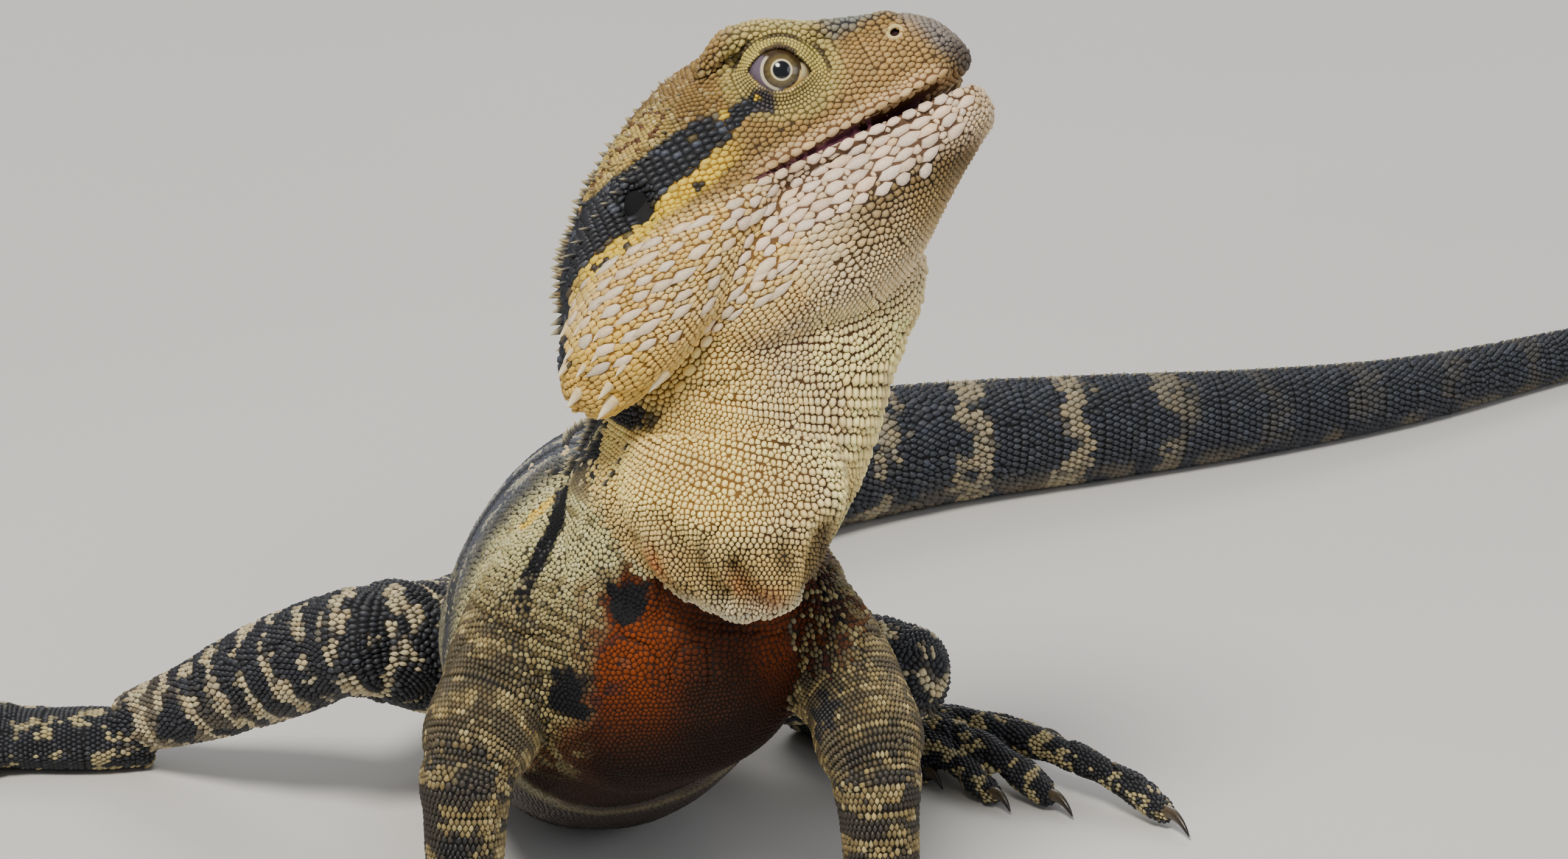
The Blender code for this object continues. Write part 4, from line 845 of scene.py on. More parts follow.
def relax(rows, tree, rounds):
    """Lets crowded scales push each other apart, over the skin. Those with a mark stay where they are."""
    free = rows[:, MARK] == 0
    for _ in range(rounds):
        near = neighbours(rows[:, :3], 7)
        apart = rows[:, None, :3] - rows[near][:, :, :3]
        level = crowding(apart, rows[:, None, 5:8], 0.5 * (rows[:, None, LONG] + rows[near][:, :, LONG]),
                         0.5 * (rows[:, None, WIDE] + rows[near][:, :, WIDE]))
        push = np.clip(0.97 / np.maximum(level, 0.2) - 1.0, 0.0, 1.5)
        move = (apart * push[:, :, None]).sum(1) * 0.34
        length = np.linalg.norm(move, axis=1, keepdims=True)
        move *= np.minimum(1.0, 0.3 * rows[:, WIDE, None] / np.maximum(length, 1e-9))
        for i in np.nonzero(free & (length[:, 0] > 0.02))[0]:
            rows[i, :3] = tree.find_nearest(Vector(rows[i, :3] + move[i]))[0]
    return rows


# Scales that have places of their own
def on_face(tree, ahead, height, side, reach=45.0, tilt=0.0):
    """Where the side of the head is, at this place ahead and up."""
    start = Vector(head_point(ahead, reach * side, height + tilt * reach))
    way = Vector(-RIGHTWARD * side - UPWARD * tilt)
    return tree.ray_cast(start, way, reach + 10.0)[0]


LID_RINGS = ((0.35, 0.50), (0.85, 0.52), (1.38, 0.56), (1.95, 0.62), (2.6, 0.7), (3.3, 0.78))


def lid_places(tree, side):
    """Rings of small scales round the opening between the lids, evenly spaced along its pointed outline."""
    rows = []
    c, s = math.cos(LID_SLANT), math.sin(LID_SLANT)
    t = np.linspace(0.0, 2 * math.pi, 721)
    for ring, (grow, size) in enumerate(LID_RINGS):
        a = (LID_LONG + 0.8 * grow) * np.cos(t)
        b = LID_HIGH * np.sign(np.sin(t)) * np.abs(np.sin(t)) ** 1.7 + grow * np.sin(t)
        run = np.concatenate([[0.0], np.cumsum(np.hypot(np.diff(a), np.diff(b)))])
        count = int(run[-1] / (size * 1.02))
        at = (np.arange(count) + 0.5 * (ring % 2)) / count * run[-1]
        for x, y in zip(np.interp(at, run, a), np.interp(at, run, b)):
            hit = on_face(tree, LID_CENTRE[0] + x * c - y * s, LID_CENTRE[1] + x * s + y * c, side)
            if hit is not None:
                rows.append(scale_row(hit, size, 1.0, -AHEAD, 1))
    return np.array(rows)


# rows of plates: from and to (ahead), how far above or below the lip's edge, length, breadth, room between
LIP_ROWS = [(57.8, 16.0, 0.82, 2.3, 1.2, 0.0), (57.4, 17.0, -0.95, 2.9, 1.5, 0.0),
            (56.4, 15.0, -2.6, 3.8, 1.75, 0.0), (54.8, 14.0, -4.45, 4.3, 1.9, 0.0),
            (52.5, 13.0, -6.4, 4.3, 1.9, 0.0), (49.0, 13.0, -8.3, 3.9, 1.8, 0.0),
            (45.0, 15.0, -10.1, 3.2, 1.6, 0.3)]


def lip_places(tree, side):
    """The plates along the lips, and the larger ones in rows below the lower lip."""
    rows = []
    for n, (start, end, beside, long, wide, room) in enumerate(LIP_ROWS):
        ahead = start - 0.5 * long * (n % 2)
        while ahead > end:
            grow = RANDOM.uniform(0.88, 1.14) if n > 1 else 1.0
            lower = float(np.interp(ahead, *np.array(LOWER_LIP).T))
            level = (MOUTH_LINE + 0.1 if beside > 0 else lower) + beside
            if n > 1:
                level += RANDOM.uniform(-0.2, 0.2)
            level -= max(0.0, 24.0 - ahead) * 0.18 if beside < -2.0 else 0.0
            hit = on_face(tree, ahead, level, side)
            if hit is not None and in_head(np.array(hit)[None])[0][1] * side > 3.0:
                size, stretch = math.sqrt(long * wide) * grow, long / wide
                rows.append(scale_row(hit, size, stretch, -AHEAD, 2))
            ahead -= long * grow * 0.97 + room * RANDOM.uniform(0.0, 1.8)
    return np.array(rows)


JOWL_EDGE = [(18.3, -21.2), (15.4, -21.3), (12.9, -21.5), (9.4, -22.2), (6.4, -22.9), (3.4, -23.6),
             (0.6, -24.3), (-2.0, -25.1), (-4.4, -26.7), (-7.0, -28.2)]


def jowl_places(tree, side):
    """The row of enlarged pale plates under the jowl, and the large plates scattered over it."""
    rows = []
    for n, (ahead, height) in enumerate(JOWL_EDGE):
        hit = on_face(tree, ahead, height, side)
        if hit is not None:
            rows.append(scale_row(hit, 2.3 if n % 2 == 0 else 1.9, 1.6, -AHEAD, 3))
    for step_along in np.arange(-16.0, 19.0, 4.6):
        for n, step_up in enumerate(np.arange(-22.5, -6.0, 2.5)):
            ahead = step_along + 2.3 * (n % 2) + RANDOM.uniform(-0.8, 0.8)
            height = step_up + RANDOM.uniform(-0.5, 0.5) - 0.10 * step_along
            long = RANDOM.uniform(3.1, 4.9)
            wide = RANDOM.uniform(1.4, 1.8)
            hit = on_face(tree, ahead, height, side)
            if hit is not None and height < np.interp(ahead, *np.array(STRIPE_LOW).T) - 1.2:
                rows.append(scale_row(hit, math.sqrt(long * wide), long / wide, -AHEAD + 0.1 * UPWARD, 4))
    return np.array(rows)


def pouch_level(points):
    """Under 1 inside the let-down throat, 1 on its surface, and more outside."""
    rows = np.array(POUCH)
    across = unit(np.array(POUCH_ACROSS))
    out = unit(np.cross(across, np.array(POUCH_HANG)))
    down = unit(np.cross(across, out))
    if down[2] > 0:
        down = -down
    start = rows[0, :3]
    station = (rows[:, :3] - start) @ down
    apart = points - start
    s = apart @ down
    middle = np.stack([np.interp(s, station, (rows[:, :3] - start) @ axis) for axis in (across, out)], axis=1)
    wide, thick = np.interp(s, station, rows[:, 3]), np.interp(s, station, rows[:, 4])
    a, b = np.abs(apart @ across - middle[:, 0]) / wide, np.abs(apart @ out - middle[:, 1]) / thick
    level = (a ** 2.2 + b ** 2.2) ** (1 / 2.2)
    return np.where(s > station[-1] + 0.8, 9.0, level)


# Colours
def srgb(*values):
    v = np.array(values, float) / 255.0
    return np.where(v <= 0.04045, v / 12.92, ((v + 0.055) / 1.055) ** 2.4)


BLACK = srgb(24, 24, 27)
OLIVE, OLIVE_RIM = srgb(170, 158, 112), srgb(52, 46, 29)
GOLD, GOLD_RIM = srgb(148, 118, 64), srgb(62, 44, 21)
YELLOW, YELLOW_RIM = srgb(222, 190, 62), srgb(156, 116, 18)
THROAT, THROAT_RIM = srgb(255, 236, 160), srgb(76, 50, 22)
RED, RED_RIM = srgb(58, 28, 11), srgb(30, 15, 7)
BELLY, BELLY_RIM = srgb(36, 20, 11), srgb(14, 8, 4)
MOTTLE, MOTTLE_RIM = srgb(148, 130, 84), srgb(32, 27, 18)


class Paint:
    """Two colours for each place: a scale's top, and the skin round its foot, which is darker: partly the skin's
    own colour and partly painted shade in the crevices between the scales.
    """

    def __init__(self, count, top, rim):
        self.top = np.tile(np.array(top, float), (count, 1))
        self.rim = np.tile(np.array(rim, float), (count, 1))

    def add(self, mask, top, rim=None):
        mask = np.clip(mask, 0.0, 1.0)[:, None]
        self.top = self.top * (1 - mask) + np.asarray(top) * mask
        if rim is not None:
            self.rim = self.rim * (1 - mask) + np.asarray(rim) * mask


def throat_paint(p):
    x, _, z = p.T
    paint = Paint(len(p), THROAT, THROAT_RIM)
    paint.add(smoothstep(z, 110, 122), srgb(228, 206, 160), srgb(88, 62, 36))
    paint.add(smoothstep(z, 122, 133), srgb(176, 148, 94), srgb(66, 48, 26))
    spot = np.exp(-(((x + 7) / 8.0) ** 2 + ((z - 115) / 7.0) ** 2)) * (0.6 + noise(p, 3.0, 3.0))
    paint.add(0.85 * spot, srgb(158, 128, 104), srgb(66, 46, 38))
    streak = smoothstep(noise(p * (1.0, 1.0, 0.5), 5.5, 6.0), 0.52, 0.68) * smoothstep(x, -14.0, -6.0)
    paint.add(0.5 * streak, srgb(206, 180, 140), srgb(84, 60, 42))
    left = smoothstep(-x, 2.0, 14.0) * smoothstep(-z, -124.0, -110.0) * smoothstep(z, 82, 90)
    paint.add(left, srgb(255, 228, 140), srgb(128, 90, 30))
    patch = smoothstep(noise(p, 5.0, 23.0), 0.50, 0.66) * smoothstep(-z, -112.0, -96.0)
    paint.add(patch * 0.5, srgb(222, 196, 124), srgb(112, 82, 34))
    low = smoothstep(-z, -89.0, -81.0)
    paint.add(low, srgb(192, 164, 100), srgb(58, 42, 20))
    # painted shade: the pouch's hollows and patches of its lower part, where its folds shade it, are darkened to
    # brown
    fold_shade = low * smoothstep(noise(p * (1.0, 1.0, 0.4), 4.2, 8.0), 0.40, 0.62) * smoothstep(z, 71, 76)
    hollow = hollow_share(p) * (0.35 + 0.65 * smoothstep(x, -19.0, -13.0))
    fold_shade = np.maximum(fold_shade * smoothstep(x, -24.0, -17.0), hollow)
    paint.add(fold_shade * 0.9, srgb(92, 72, 36), srgb(30, 22, 12))
    edge = smoothstep(-z, -76.5, -72.0)
    paint.add(edge, srgb(222, 208, 168), srgb(78, 62, 38))
    for spot_at, reach in (((-25.0, -17.0, 79.0), 3.0), ((-7.0, -26.0, 74.0), 3.0),
                           ((-12.0, -26.0, 78.0), 2.2)):
        mask = np.exp(-(np.linalg.norm(p - np.array(spot_at), axis=1) / reach) ** 2)
        paint.add(mask * 0.8, srgb(172, 98, 34), srgb(110, 50, 18))
    return paint


def head_paint(p, marks):
    f, r, h = in_head(p).T
    side = np.abs(r)
    wob = (noise(p, 2.0, 2.0) - 0.5) * 1.6
    fleck = noise(p, 1.1, 3.0)
    paint = Paint(len(p), GOLD, GOLD_RIM)
    paint.add(smoothstep(-f, -26, -10) * smoothstep(h, 6, 9), srgb(118, 94, 50), srgb(42, 31, 16))
    crown = smoothstep(-f, -28, -12) * smoothstep(h, 5, 9)
    temple = smoothstep(-f, -17, -10) * smoothstep(h, 5, 7) * smoothstep(-h, -15.5, -12.5)
    paint.add(temple, srgb(178, 154, 84), srgb(74, 56, 24))
    paint.add(crown * smoothstep(fleck, 0.72, 0.80), srgb(186, 168, 116), srgb(74, 58, 34))
    paint.add(crown * smoothstep(-fleck, -0.32, -0.22), srgb(84, 48, 24), srgb(38, 24, 14))
    above = smoothstep(h, 9, 14) * smoothstep(f, 24, 36)
    paint.add(above, srgb(188, 174, 116), srgb(92, 78, 44))
    snout = smoothstep(f + wob, 40, 46) * smoothstep(h + wob, 7.4, 10.2)
    paint.add(snout, srgb(118, 120, 110), srgb(46, 48, 52))
    tip = smoothstep(f + 0.35 * h, 54.5, 57.5) * smoothstep(h, -4.5, -1.5)
    paint.add(tip, srgb(128, 118, 108), srgb(44, 42, 44))
    paint.add(smoothstep(f, 56, 59) * smoothstep(-h, 0.0, 3.0) * smoothstep(h, -7, -5), srgb(86, 74, 62),
              srgb(40, 32, 28))
    loreal = smoothstep(f, 36, 42) * smoothstep(-f, -58, -52) * smoothstep(-h, -7.0, -4.0)
    paint.add(loreal * 0.7, srgb(178, 144, 86), srgb(84, 58, 28))
    a, b = eye_plane(f, h)
    outer = np.hypot(a / (LID_LONG + 3.4), b / (LID_HIGH + 3.6))
    on_side = (side > 6).astype(float)
    paint.add(smoothstep(-outer, -1.35, -1.0) * on_side * 0.8, srgb(184, 168, 98), srgb(104, 90, 46))
    upper = smoothstep(-outer, -1.0, -0.8) * on_side * smoothstep(b, -1.0, 1.0)
    paint.add(upper, srgb(194, 178, 96), srgb(118, 104, 48))
    # painted shade: a dark line in the crease round the lids, on its upper half
    crease = np.exp(-((np.hypot(a / (LID_LONG + 2.6), b / (LID_HIGH + 2.5)) - 1.0) / 0.055) ** 2) * on_side
    paint.add(crease * smoothstep(b, -0.5, 1.0), srgb(76, 62, 38), srgb(38, 30, 20))
    edge = smoothstep(-lid_level(f, h), -1.34, -1.22) * on_side
    # painted shadow: a dark brown line along the upper edge of the lid opening, where the upper lid overhangs
    paint.add(edge * smoothstep(b, 0.0, 0.8), srgb(70, 54, 34), srgb(34, 26, 18))
    front = edge * smoothstep(a, -0.5, 1.5) * smoothstep(-b, -1.2, 0.2)
    paint.add(front, srgb(222, 196, 116), srgb(150, 120, 62))
    below = smoothstep(-b, 2.9, 3.6) * smoothstep(b, -7.6, -6.8)
    below = below * smoothstep(-a, 0.2, 0.9) * smoothstep(a, -4.8, -4.0)
    paint.add(below * on_side, srgb(62, 56, 60), srgb(26, 24, 27))
    behind = edge * smoothstep(-a, 2.0, 3.4) * smoothstep(-b, -1.5, 0.5)
    paint.add(behind, srgb(128, 116, 130), srgb(70, 60, 70))
    lips = smoothstep(-h, 2.4, 4.4) * smoothstep(f, 18, 26) * smoothstep(-f, -57, -54)
    paint.add(lips * 0.85, srgb(206, 174, 126), srgb(110, 76, 40))
    jaw = smoothstep(-h, 6.6, 7.4) * smoothstep(f, 8, 18)
    paint.add(jaw, srgb(220, 194, 160), srgb(92, 66, 44))
    low = smoothstep(-h - 0.25 * f, 4.5, 8.5) * smoothstep(f, 8, 22)
    paint.add(low, srgb(224, 200, 154), srgb(84, 60, 36))
    chin = smoothstep(-h, 14.5, 18.5) * smoothstep(f, 24, 38)
    paint.add(chin, srgb(120, 96, 52), srgb(42, 30, 15))
    front = smoothstep(f, 54.5, 57.5) * smoothstep(-h, 8.5, 10.5)
    paint.add(front, srgb(208, 186, 150), srgb(126, 98, 62))
    jowl = smoothstep(-f, -25, -16) * smoothstep(-h - 0.12 * (f + 10), 2.0, 5.5)
    paint.add(jowl, srgb(224, 194, 124), srgb(118, 84, 36))
    rear = smoothstep(-f, 0, 12) * smoothstep(-h, 10, 18)
    paint.add(rear, srgb(216, 178, 78), srgb(136, 94, 22))
    warm = smoothstep(noise(p, 4.0, 4.0), 0.42, 0.62) * jowl
    paint.add(warm * 0.6, srgb(204, 166, 84), srgb(116, 80, 28))
    lower = np.interp(f, *np.array(STRIPE_LOW).T)
    band = smoothstep(h + wob - (lower - 4.2), 0.0, 1.6) * smoothstep(lower + 0.8 - h, 0.0, 1.0)
    band = band * smoothstep(-f, -24, -15) * smoothstep(f, -17, -9) * smoothstep(side, 8, 12)
    paint.add(band, YELLOW, YELLOW_RIM)
    paint.add(band * smoothstep(noise(p, 1.5, 19.0), 0.68, 0.76), srgb(56, 48, 36), BLACK)
    stripe = in_stripe(f + wob, h + wob * 0.5) * np.where(f > -7, smoothstep(side, 7.5, 10.0), 1.0)
    paint.add(stripe, srgb(34, 36, 42), BLACK * 0.5)
    # painted highlights: bluish-grey glints on the tops of some of the black stripe's scales
    paint.add(stripe * smoothstep(noise(p, 1.7, 9.0), 0.72, 0.8) * 0.4, srgb(92, 98, 112))
    gold_flecks = stripe * smoothstep(f, 14, 22) * smoothstep(noise(p, 1.9, 6.0), 0.60, 0.66)
    paint.add(gold_flecks, YELLOW, YELLOW_RIM)
    paint.add((marks == 2) & (h < MOUTH_LINE - 1.5), srgb(228, 204, 178), srgb(104, 76, 54))
    paint.add(marks > 2, srgb(218, 198, 166), srgb(118, 88, 48))
    throat = smoothstep(-h, 18.0, 24.0) * smoothstep(-side, -16.0, -10.0)
    under = throat_paint(p)
    paint.add(throat, under.top, under.rim)
    return paint


def neck_paint(p, angle):
    paint = throat_paint(p)
    z = p[:, 2]
    turn = np.abs((angle + np.pi) % (2 * np.pi) - np.pi)  # 0 at the nape, pi at the throat
    wob = (noise(p, 3.0, 12.0) - 0.5) * 0.5
    side = smoothstep(-(turn + wob), -1.75, -1.25)
    olive = smoothstep(-z, -92.0, -80.0)
    paint.add(side, srgb(214, 188, 112), srgb(112, 80, 30))
    paint.add(np.maximum(side, smoothstep(-turn, -2.3, -1.7)) * olive, OLIVE, OLIVE_RIM)
    nape = smoothstep(-(turn + wob), -0.95, -0.7) * smoothstep(z + 8.0 * wob, 81.0, 89.0)
    nape = np.maximum(nape, smoothstep(-(turn + wob), -0.45, -0.25))
    paint.add(nape, srgb(32, 33, 37), BLACK * 0.6)
    paint.add(nape * smoothstep(noise(p, 1.6, 21.0), 0.78, 0.84), srgb(196, 182, 132))
    return paint


# the black slash on the shoulder and its yellow edge, as lines on the plane that the shoulder faces
SHOULDER_PLANE = np.array(((0.985, -0.174, 0.0), (0.059, 0.337, 0.940)))
SLASH = np.array(((-36.6, 79.4), (-37.6, 73.9), (-39.8, 68.9), (-42.3, 63.9), (-43.4, 60.4)))
SLASH_EDGE = np.array(((-37.8, 79.0), (-40.2, 76.4), (-43.2, 73.6)))
# where the rust of the chest begins on that plane, at each height
CHEST_EDGE = [(25.0, -50.0), (32.0, -46.0), (42.0, -32.5), (52.0, -31.8), (64.0, -29.8), (73.0, -26.8),
              (84.0, -21.0)]


def torso_paint(p, angle):
    x, y, z = p.T
    turn = np.abs((angle + np.pi) % (2 * np.pi) - np.pi)  # 0 along the back, pi along the belly
    n1, n2, n3 = noise(p, 5.0, 31.0), noise(p, 2.2, 32.0), noise(p, 1.1, 33.0)
    paint = Paint(len(p), srgb(196, 188, 132), srgb(62, 56, 36))
    paint.add(smoothstep(n3, 0.62, 0.74) * 0.5, srgb(228, 218, 174))
    lines = noise(p * (0.5, 0.5, 1.0), 1.5, 35.0)
    paint.add(smoothstep(-lines, -0.36, -0.24) * 0.75, srgb(104, 92, 60), srgb(42, 36, 24))
    back = smoothstep(y, 16, 34)
    paint.add(back, srgb(112, 108, 86), srgb(42, 40, 33))
    flank_marks = back * smoothstep(n1, 0.50, 0.60) * smoothstep(-turn, -2.1, -1.5)
    paint.add(flank_marks, srgb(44, 46, 52), BLACK * 0.7)
    paint.add(back * smoothstep(n3, 0.70, 0.78) * 0.7, srgb(176, 168, 132))
    dorsal = back * smoothstep(-(turn + (n1 - 0.5) * 0.5), -1.15, -0.85)
    paint.add(dorsal, srgb(72, 76, 86), srgb(30, 32, 37))
    bars = smoothstep(np.cos(2 * np.pi * (y + 3.0 * n1) / 17.0), 0.5, 0.85)
    paint.add(dorsal * bars * smoothstep(n2, 0.3, 0.5), srgb(160, 156, 138), srgb(80, 78, 70))
    dark_bars = smoothstep(-np.cos(2 * np.pi * (y + 3.0 * n1) / 17.0), 0.35, 0.8)
    paint.add(dorsal * dark_bars, srgb(32, 34, 40), BLACK * 0.6)
    below = smoothstep(turn + (n1 - 0.5) * 0.4, 1.9, 2.3)
    below = below * np.maximum(smoothstep(y, 6, 22), smoothstep(-z, -30.0, -18.0))
    paint.add(below, srgb(36, 22, 13), srgb(15, 9, 6))
    paint.add(below * smoothstep(y, 66, 112), srgb(66, 48, 33), srgb(32, 22, 15))
    paint.add(below * smoothstep(y, 20, 60) * smoothstep(n2, 0.55, 0.65), srgb(52, 34, 28), BLACK * 0.7)
    # painted shade: the lowest belly, near the floor, takes a dark brown
    sunk = smoothstep(-z, -15.0, -8.0) * smoothstep(-y, -96.0, -76.0)
    paint.add(sunk, srgb(34, 22, 14), srgb(15, 9, 6))
    # the chest, red between the forelegs and darker down the belly
    across = np.abs(x + 14.0 + 0.12 * (z - 60)) + (n1 - 0.5) * 6.0
    front = smoothstep(-y, -19, -9)
    plane = p @ SHOULDER_PLANE.T
    inward = plane[:, 0] - np.interp(plane[:, 1], *np.array(CHEST_EDGE).T) + (n1 - 0.5) * 5.0
    chest = front * smoothstep(-across, -27.0, -20.0) * smoothstep(-z, -86, -74)
    chest = chest * smoothstep(inward, 0.0, 2.4)
    armpit = front * smoothstep(-inward, -2.0, 0.0) * smoothstep(-z, -75.0, -64.0) * (x < -20)
    paint.add(armpit, srgb(150, 136, 92), srgb(36, 31, 20))
    slanted = plane[:, 1] + 0.5 * plane[:, 0] + 1.8 * (n1 - 0.5)
    rows = smoothstep(np.cos(2 * np.pi * slanted / 2.7), 0.15, 0.65)
    paint.add(armpit * rows * 0.8, srgb(60, 50, 33), srgb(22, 19, 13))
    # painted shade: dark brown between the foreleg and the red of the chest, broken up by noise
    border = front * smoothstep(-across, -33, -27) * smoothstep(-z, -80, -70) * smoothstep(inward, -6.0, 0.0)
    paint.add(border * (0.45 + 0.55 * smoothstep(n2, 0.42, 0.58)), srgb(94, 62, 38), srgb(38, 24, 14))
    paint.add(front * smoothstep(-z, -44.0, -34.0) * smoothstep(inward, 0.0, 2.4), BELLY, BELLY_RIM)
    paint.add(chest, RED, RED_RIM)
    for middle, wide, high, share in ((-27.0, 8.5, 11.5, 1.0), (-2.0, 7.0, 9.0, 0.5)):
        glow = np.exp(-(((x - middle) / wide) ** 2 + ((z - 62.0) / high) ** 2)) * (0.75 + 0.5 * n1)
        paint.add(chest * glow * share, srgb(122, 54, 12), srgb(58, 26, 8))
    middle = smoothstep(-across, -11.0, -3.0) * smoothstep(-z, -66.0, -54.0)
    paint.add(chest * middle * 0.9, srgb(42, 22, 10), srgb(15, 8, 4))
    paint.add(chest * smoothstep(-z, -56, -40) * (1 - 0.4 * smoothstep(across, 16, 22)), BELLY, BELLY_RIM)
    # painted shade: the chest turns near black low down, towards the floor
    paint.add(chest * smoothstep(-z, -36, -20) * 0.95, srgb(20, 14, 9), srgb(9, 6, 4))
    fringe = chest * smoothstep(across, 12, 18) * smoothstep(n2, 0.46, 0.62) * smoothstep(z, 48, 56)
    paint.add(fringe * 0.8, srgb(62, 34, 30), BLACK)
    for at, reach in (((-27.6, -8.0, 70.6), 3.4), ((-36.4, -7.0, 54.8), 4.2), ((7.5, -8.0, 68.0), 3.2)):
        patch = np.linalg.norm((p - np.array(at)) * (1.0, 0.55, 0.8), axis=1) / reach + (n2 - 0.5) * 1.2
        paint.add(front * smoothstep(-patch, -1.1, -0.8), BLACK, BLACK * 0.5)
    # painted highlights: a few pale orange glints on the upper chest
    painted_glint = front * chest * smoothstep(noise(p, 1.1, 44.0), 0.86, 0.90) * smoothstep(z, 56, 66)
    paint.add(painted_glint * 0.3, srgb(170, 104, 60))
    shoulder = (y < 16) & (x < -26)
    edge = segment_distance(plane, SLASH_EDGE) + (n2 - 0.5) * 0.5
    paint.add(shoulder * smoothstep(-edge, -1.3, -0.7), srgb(232, 198, 84), srgb(140, 106, 30))
    gap = segment_distance(plane, SLASH) + (n2 - 0.5) * 0.7
    paint.add(shoulder * smoothstep(-gap, -1.7, -1.1), BLACK, BLACK * 0.5)
    return paint


def arm_paint(p, arc, upper):
    """Wavy dark bars across the arm, a few scales deep, over a pale ground."""
    n1, n2, n3 = noise(p, 3.8, 51.0), noise(p, 1.7, 52.0), noise(p, 0.95, 53.0)
    paint = Paint(len(p), MOTTLE, MOTTLE_RIM)
    bars = noise(np.stack([arc / 1.5, p[:, 0] / 5.0, p[:, 1] / 5.0], axis=1), 1.0, 57.0)
    level = 0.24 * n1 + 0.16 * n2 + 0.12 * n3 + 0.48 * bars
    if upper:
        near = smoothstep(-arc, -20.0, -10.0)
        paint.add(near, srgb(166, 154, 110), srgb(42, 37, 25))
        level = level - 0.12 * near
    level = level + 0.09 * smoothstep(-p[:, 0], 50.0, 57.0)
    dark = smoothstep(level, 0.485, 0.535)
    paint.add(dark * (0.78 if upper else 0.95), srgb(40, 36, 32), BLACK * 0.5)
    paint.add((1 - dark) * smoothstep(n3, 0.42, 0.60) * 0.7, srgb(96, 82, 50), srgb(28, 24, 16))
    paint.add((1 - dark) * smoothstep(-n3, -0.34, -0.2) * 0.5, srgb(196, 180, 128))
    if upper:
        rows = smoothstep(np.cos(2 * np.pi * (arc + 1.6 * (n1 - 0.5)) / 2.9), 0.25, 0.75)
        paint.add(rows * 0.7, srgb(74, 62, 40), srgb(24, 21, 15))
    for at, reach in (((-38.4, -7.0, 55.0), 4.8), ((6.0, -15.0, 49.5), 4.2), ((-57.0, -16.0, 30.0), 3.0)):
        patch = np.linalg.norm(p - np.array(at), axis=1) / reach + (n2 - 0.5) * 1.1
        paint.add(smoothstep(-patch, -1.1, -0.85), srgb(28, 27, 28), BLACK * 0.5)
    return paint


def leg_paint(p, arc, period):
    n1, n2, n3 = noise(p, 3.2, 61.0), noise(p, 1.4, 62.0), noise(p, 0.95, 63.0)
    paint = Paint(len(p), srgb(36, 38, 45), BLACK * 0.6)
    paint.add(smoothstep(n3, 0.62, 0.75) * 0.6, srgb(66, 68, 74))
    wave = np.cos(2 * np.pi * (arc + 5.0 * (n1 - 0.5)) / period) + 1.5 * (n2 - 0.5)
    bar = smoothstep(wave, 0.30, 0.62) * smoothstep(n1, 0.30, 0.44)
    paint.add(bar, srgb(200, 186, 148), srgb(70, 62, 48))
    paint.add(bar * smoothstep(-n3, -0.4, -0.25) * 0.5, srgb(150, 132, 98))
    low = smoothstep(-p[:, 2], -22.0, -8.0) * smoothstep(n1, 0.35, 0.6) * (1 - bar)
    paint.add(low * 0.6, srgb(150, 136, 106), srgb(60, 54, 42))
    return paint


def foot_paint(p, hand):
    n1, n2, n3 = noise(p, 2.4, 71.0), noise(p, 1.1, 72.0), noise(p, 0.8, 73.0)
    paint = Paint(len(p), srgb(32, 34, 40), BLACK * 0.6)
    paint.add(smoothstep(n3, 0.62, 0.75) * 0.6, srgb(62, 64, 70))
    share = 0.50 if hand else 0.60
    paint.add(smoothstep(0.6 * n1 + 0.45 * n2, share, share + 0.05), srgb(178, 164, 120), srgb(56, 50, 38))
    return paint


def tail_paint(p, arc, angle):
    n1, n2, n3 = noise(p, 4.4, 81.0), noise(p, 1.8, 82.0), noise(p, 1.0, 83.0)
    turn = np.abs((angle + np.pi) % (2 * np.pi) - np.pi)
    paint = Paint(len(p), srgb(38, 42, 50), BLACK * 0.6)
    paint.add(smoothstep(n3, 0.6, 0.75) * 0.6, srgb(64, 68, 78))
    cycle = np.cos(2 * np.pi * (arc - 3.0 + 8.0 * (n1 - 0.5)) / 21.0) + 1.1 * (n2 - 0.5)
    fade = 1 - 0.9 * smoothstep(arc, 150, 188)
    bar = smoothstep(cycle, 0.45, 0.8) * fade * smoothstep(n1, 0.24, 0.4)
    paint.add(bar * 0.92, srgb(152, 140, 112), srgb(62, 57, 46))
    paint.add((1 - bar) * smoothstep(turn, 1.9, 2.5) * smoothstep(n1, 0.4, 0.6) * 0.6, srgb(112, 102, 82),
              srgb(52, 47, 38))
    near = smoothstep(-arc, -62, -30) * smoothstep(n2 + n1, 0.95, 1.15)
    paint.add(near * 0.6, srgb(120, 112, 86), srgb(50, 46, 36))
    return paint


def kind_of(name):
    if name in ("head", "jaw", "jowl", "brow", "lip", "head_shape"):
        return "head"
    for kind in ("upper_arm", "forearm", "thigh", "shank", "hand", "foot"):
        if name.startswith(kind):
            return kind
    return name


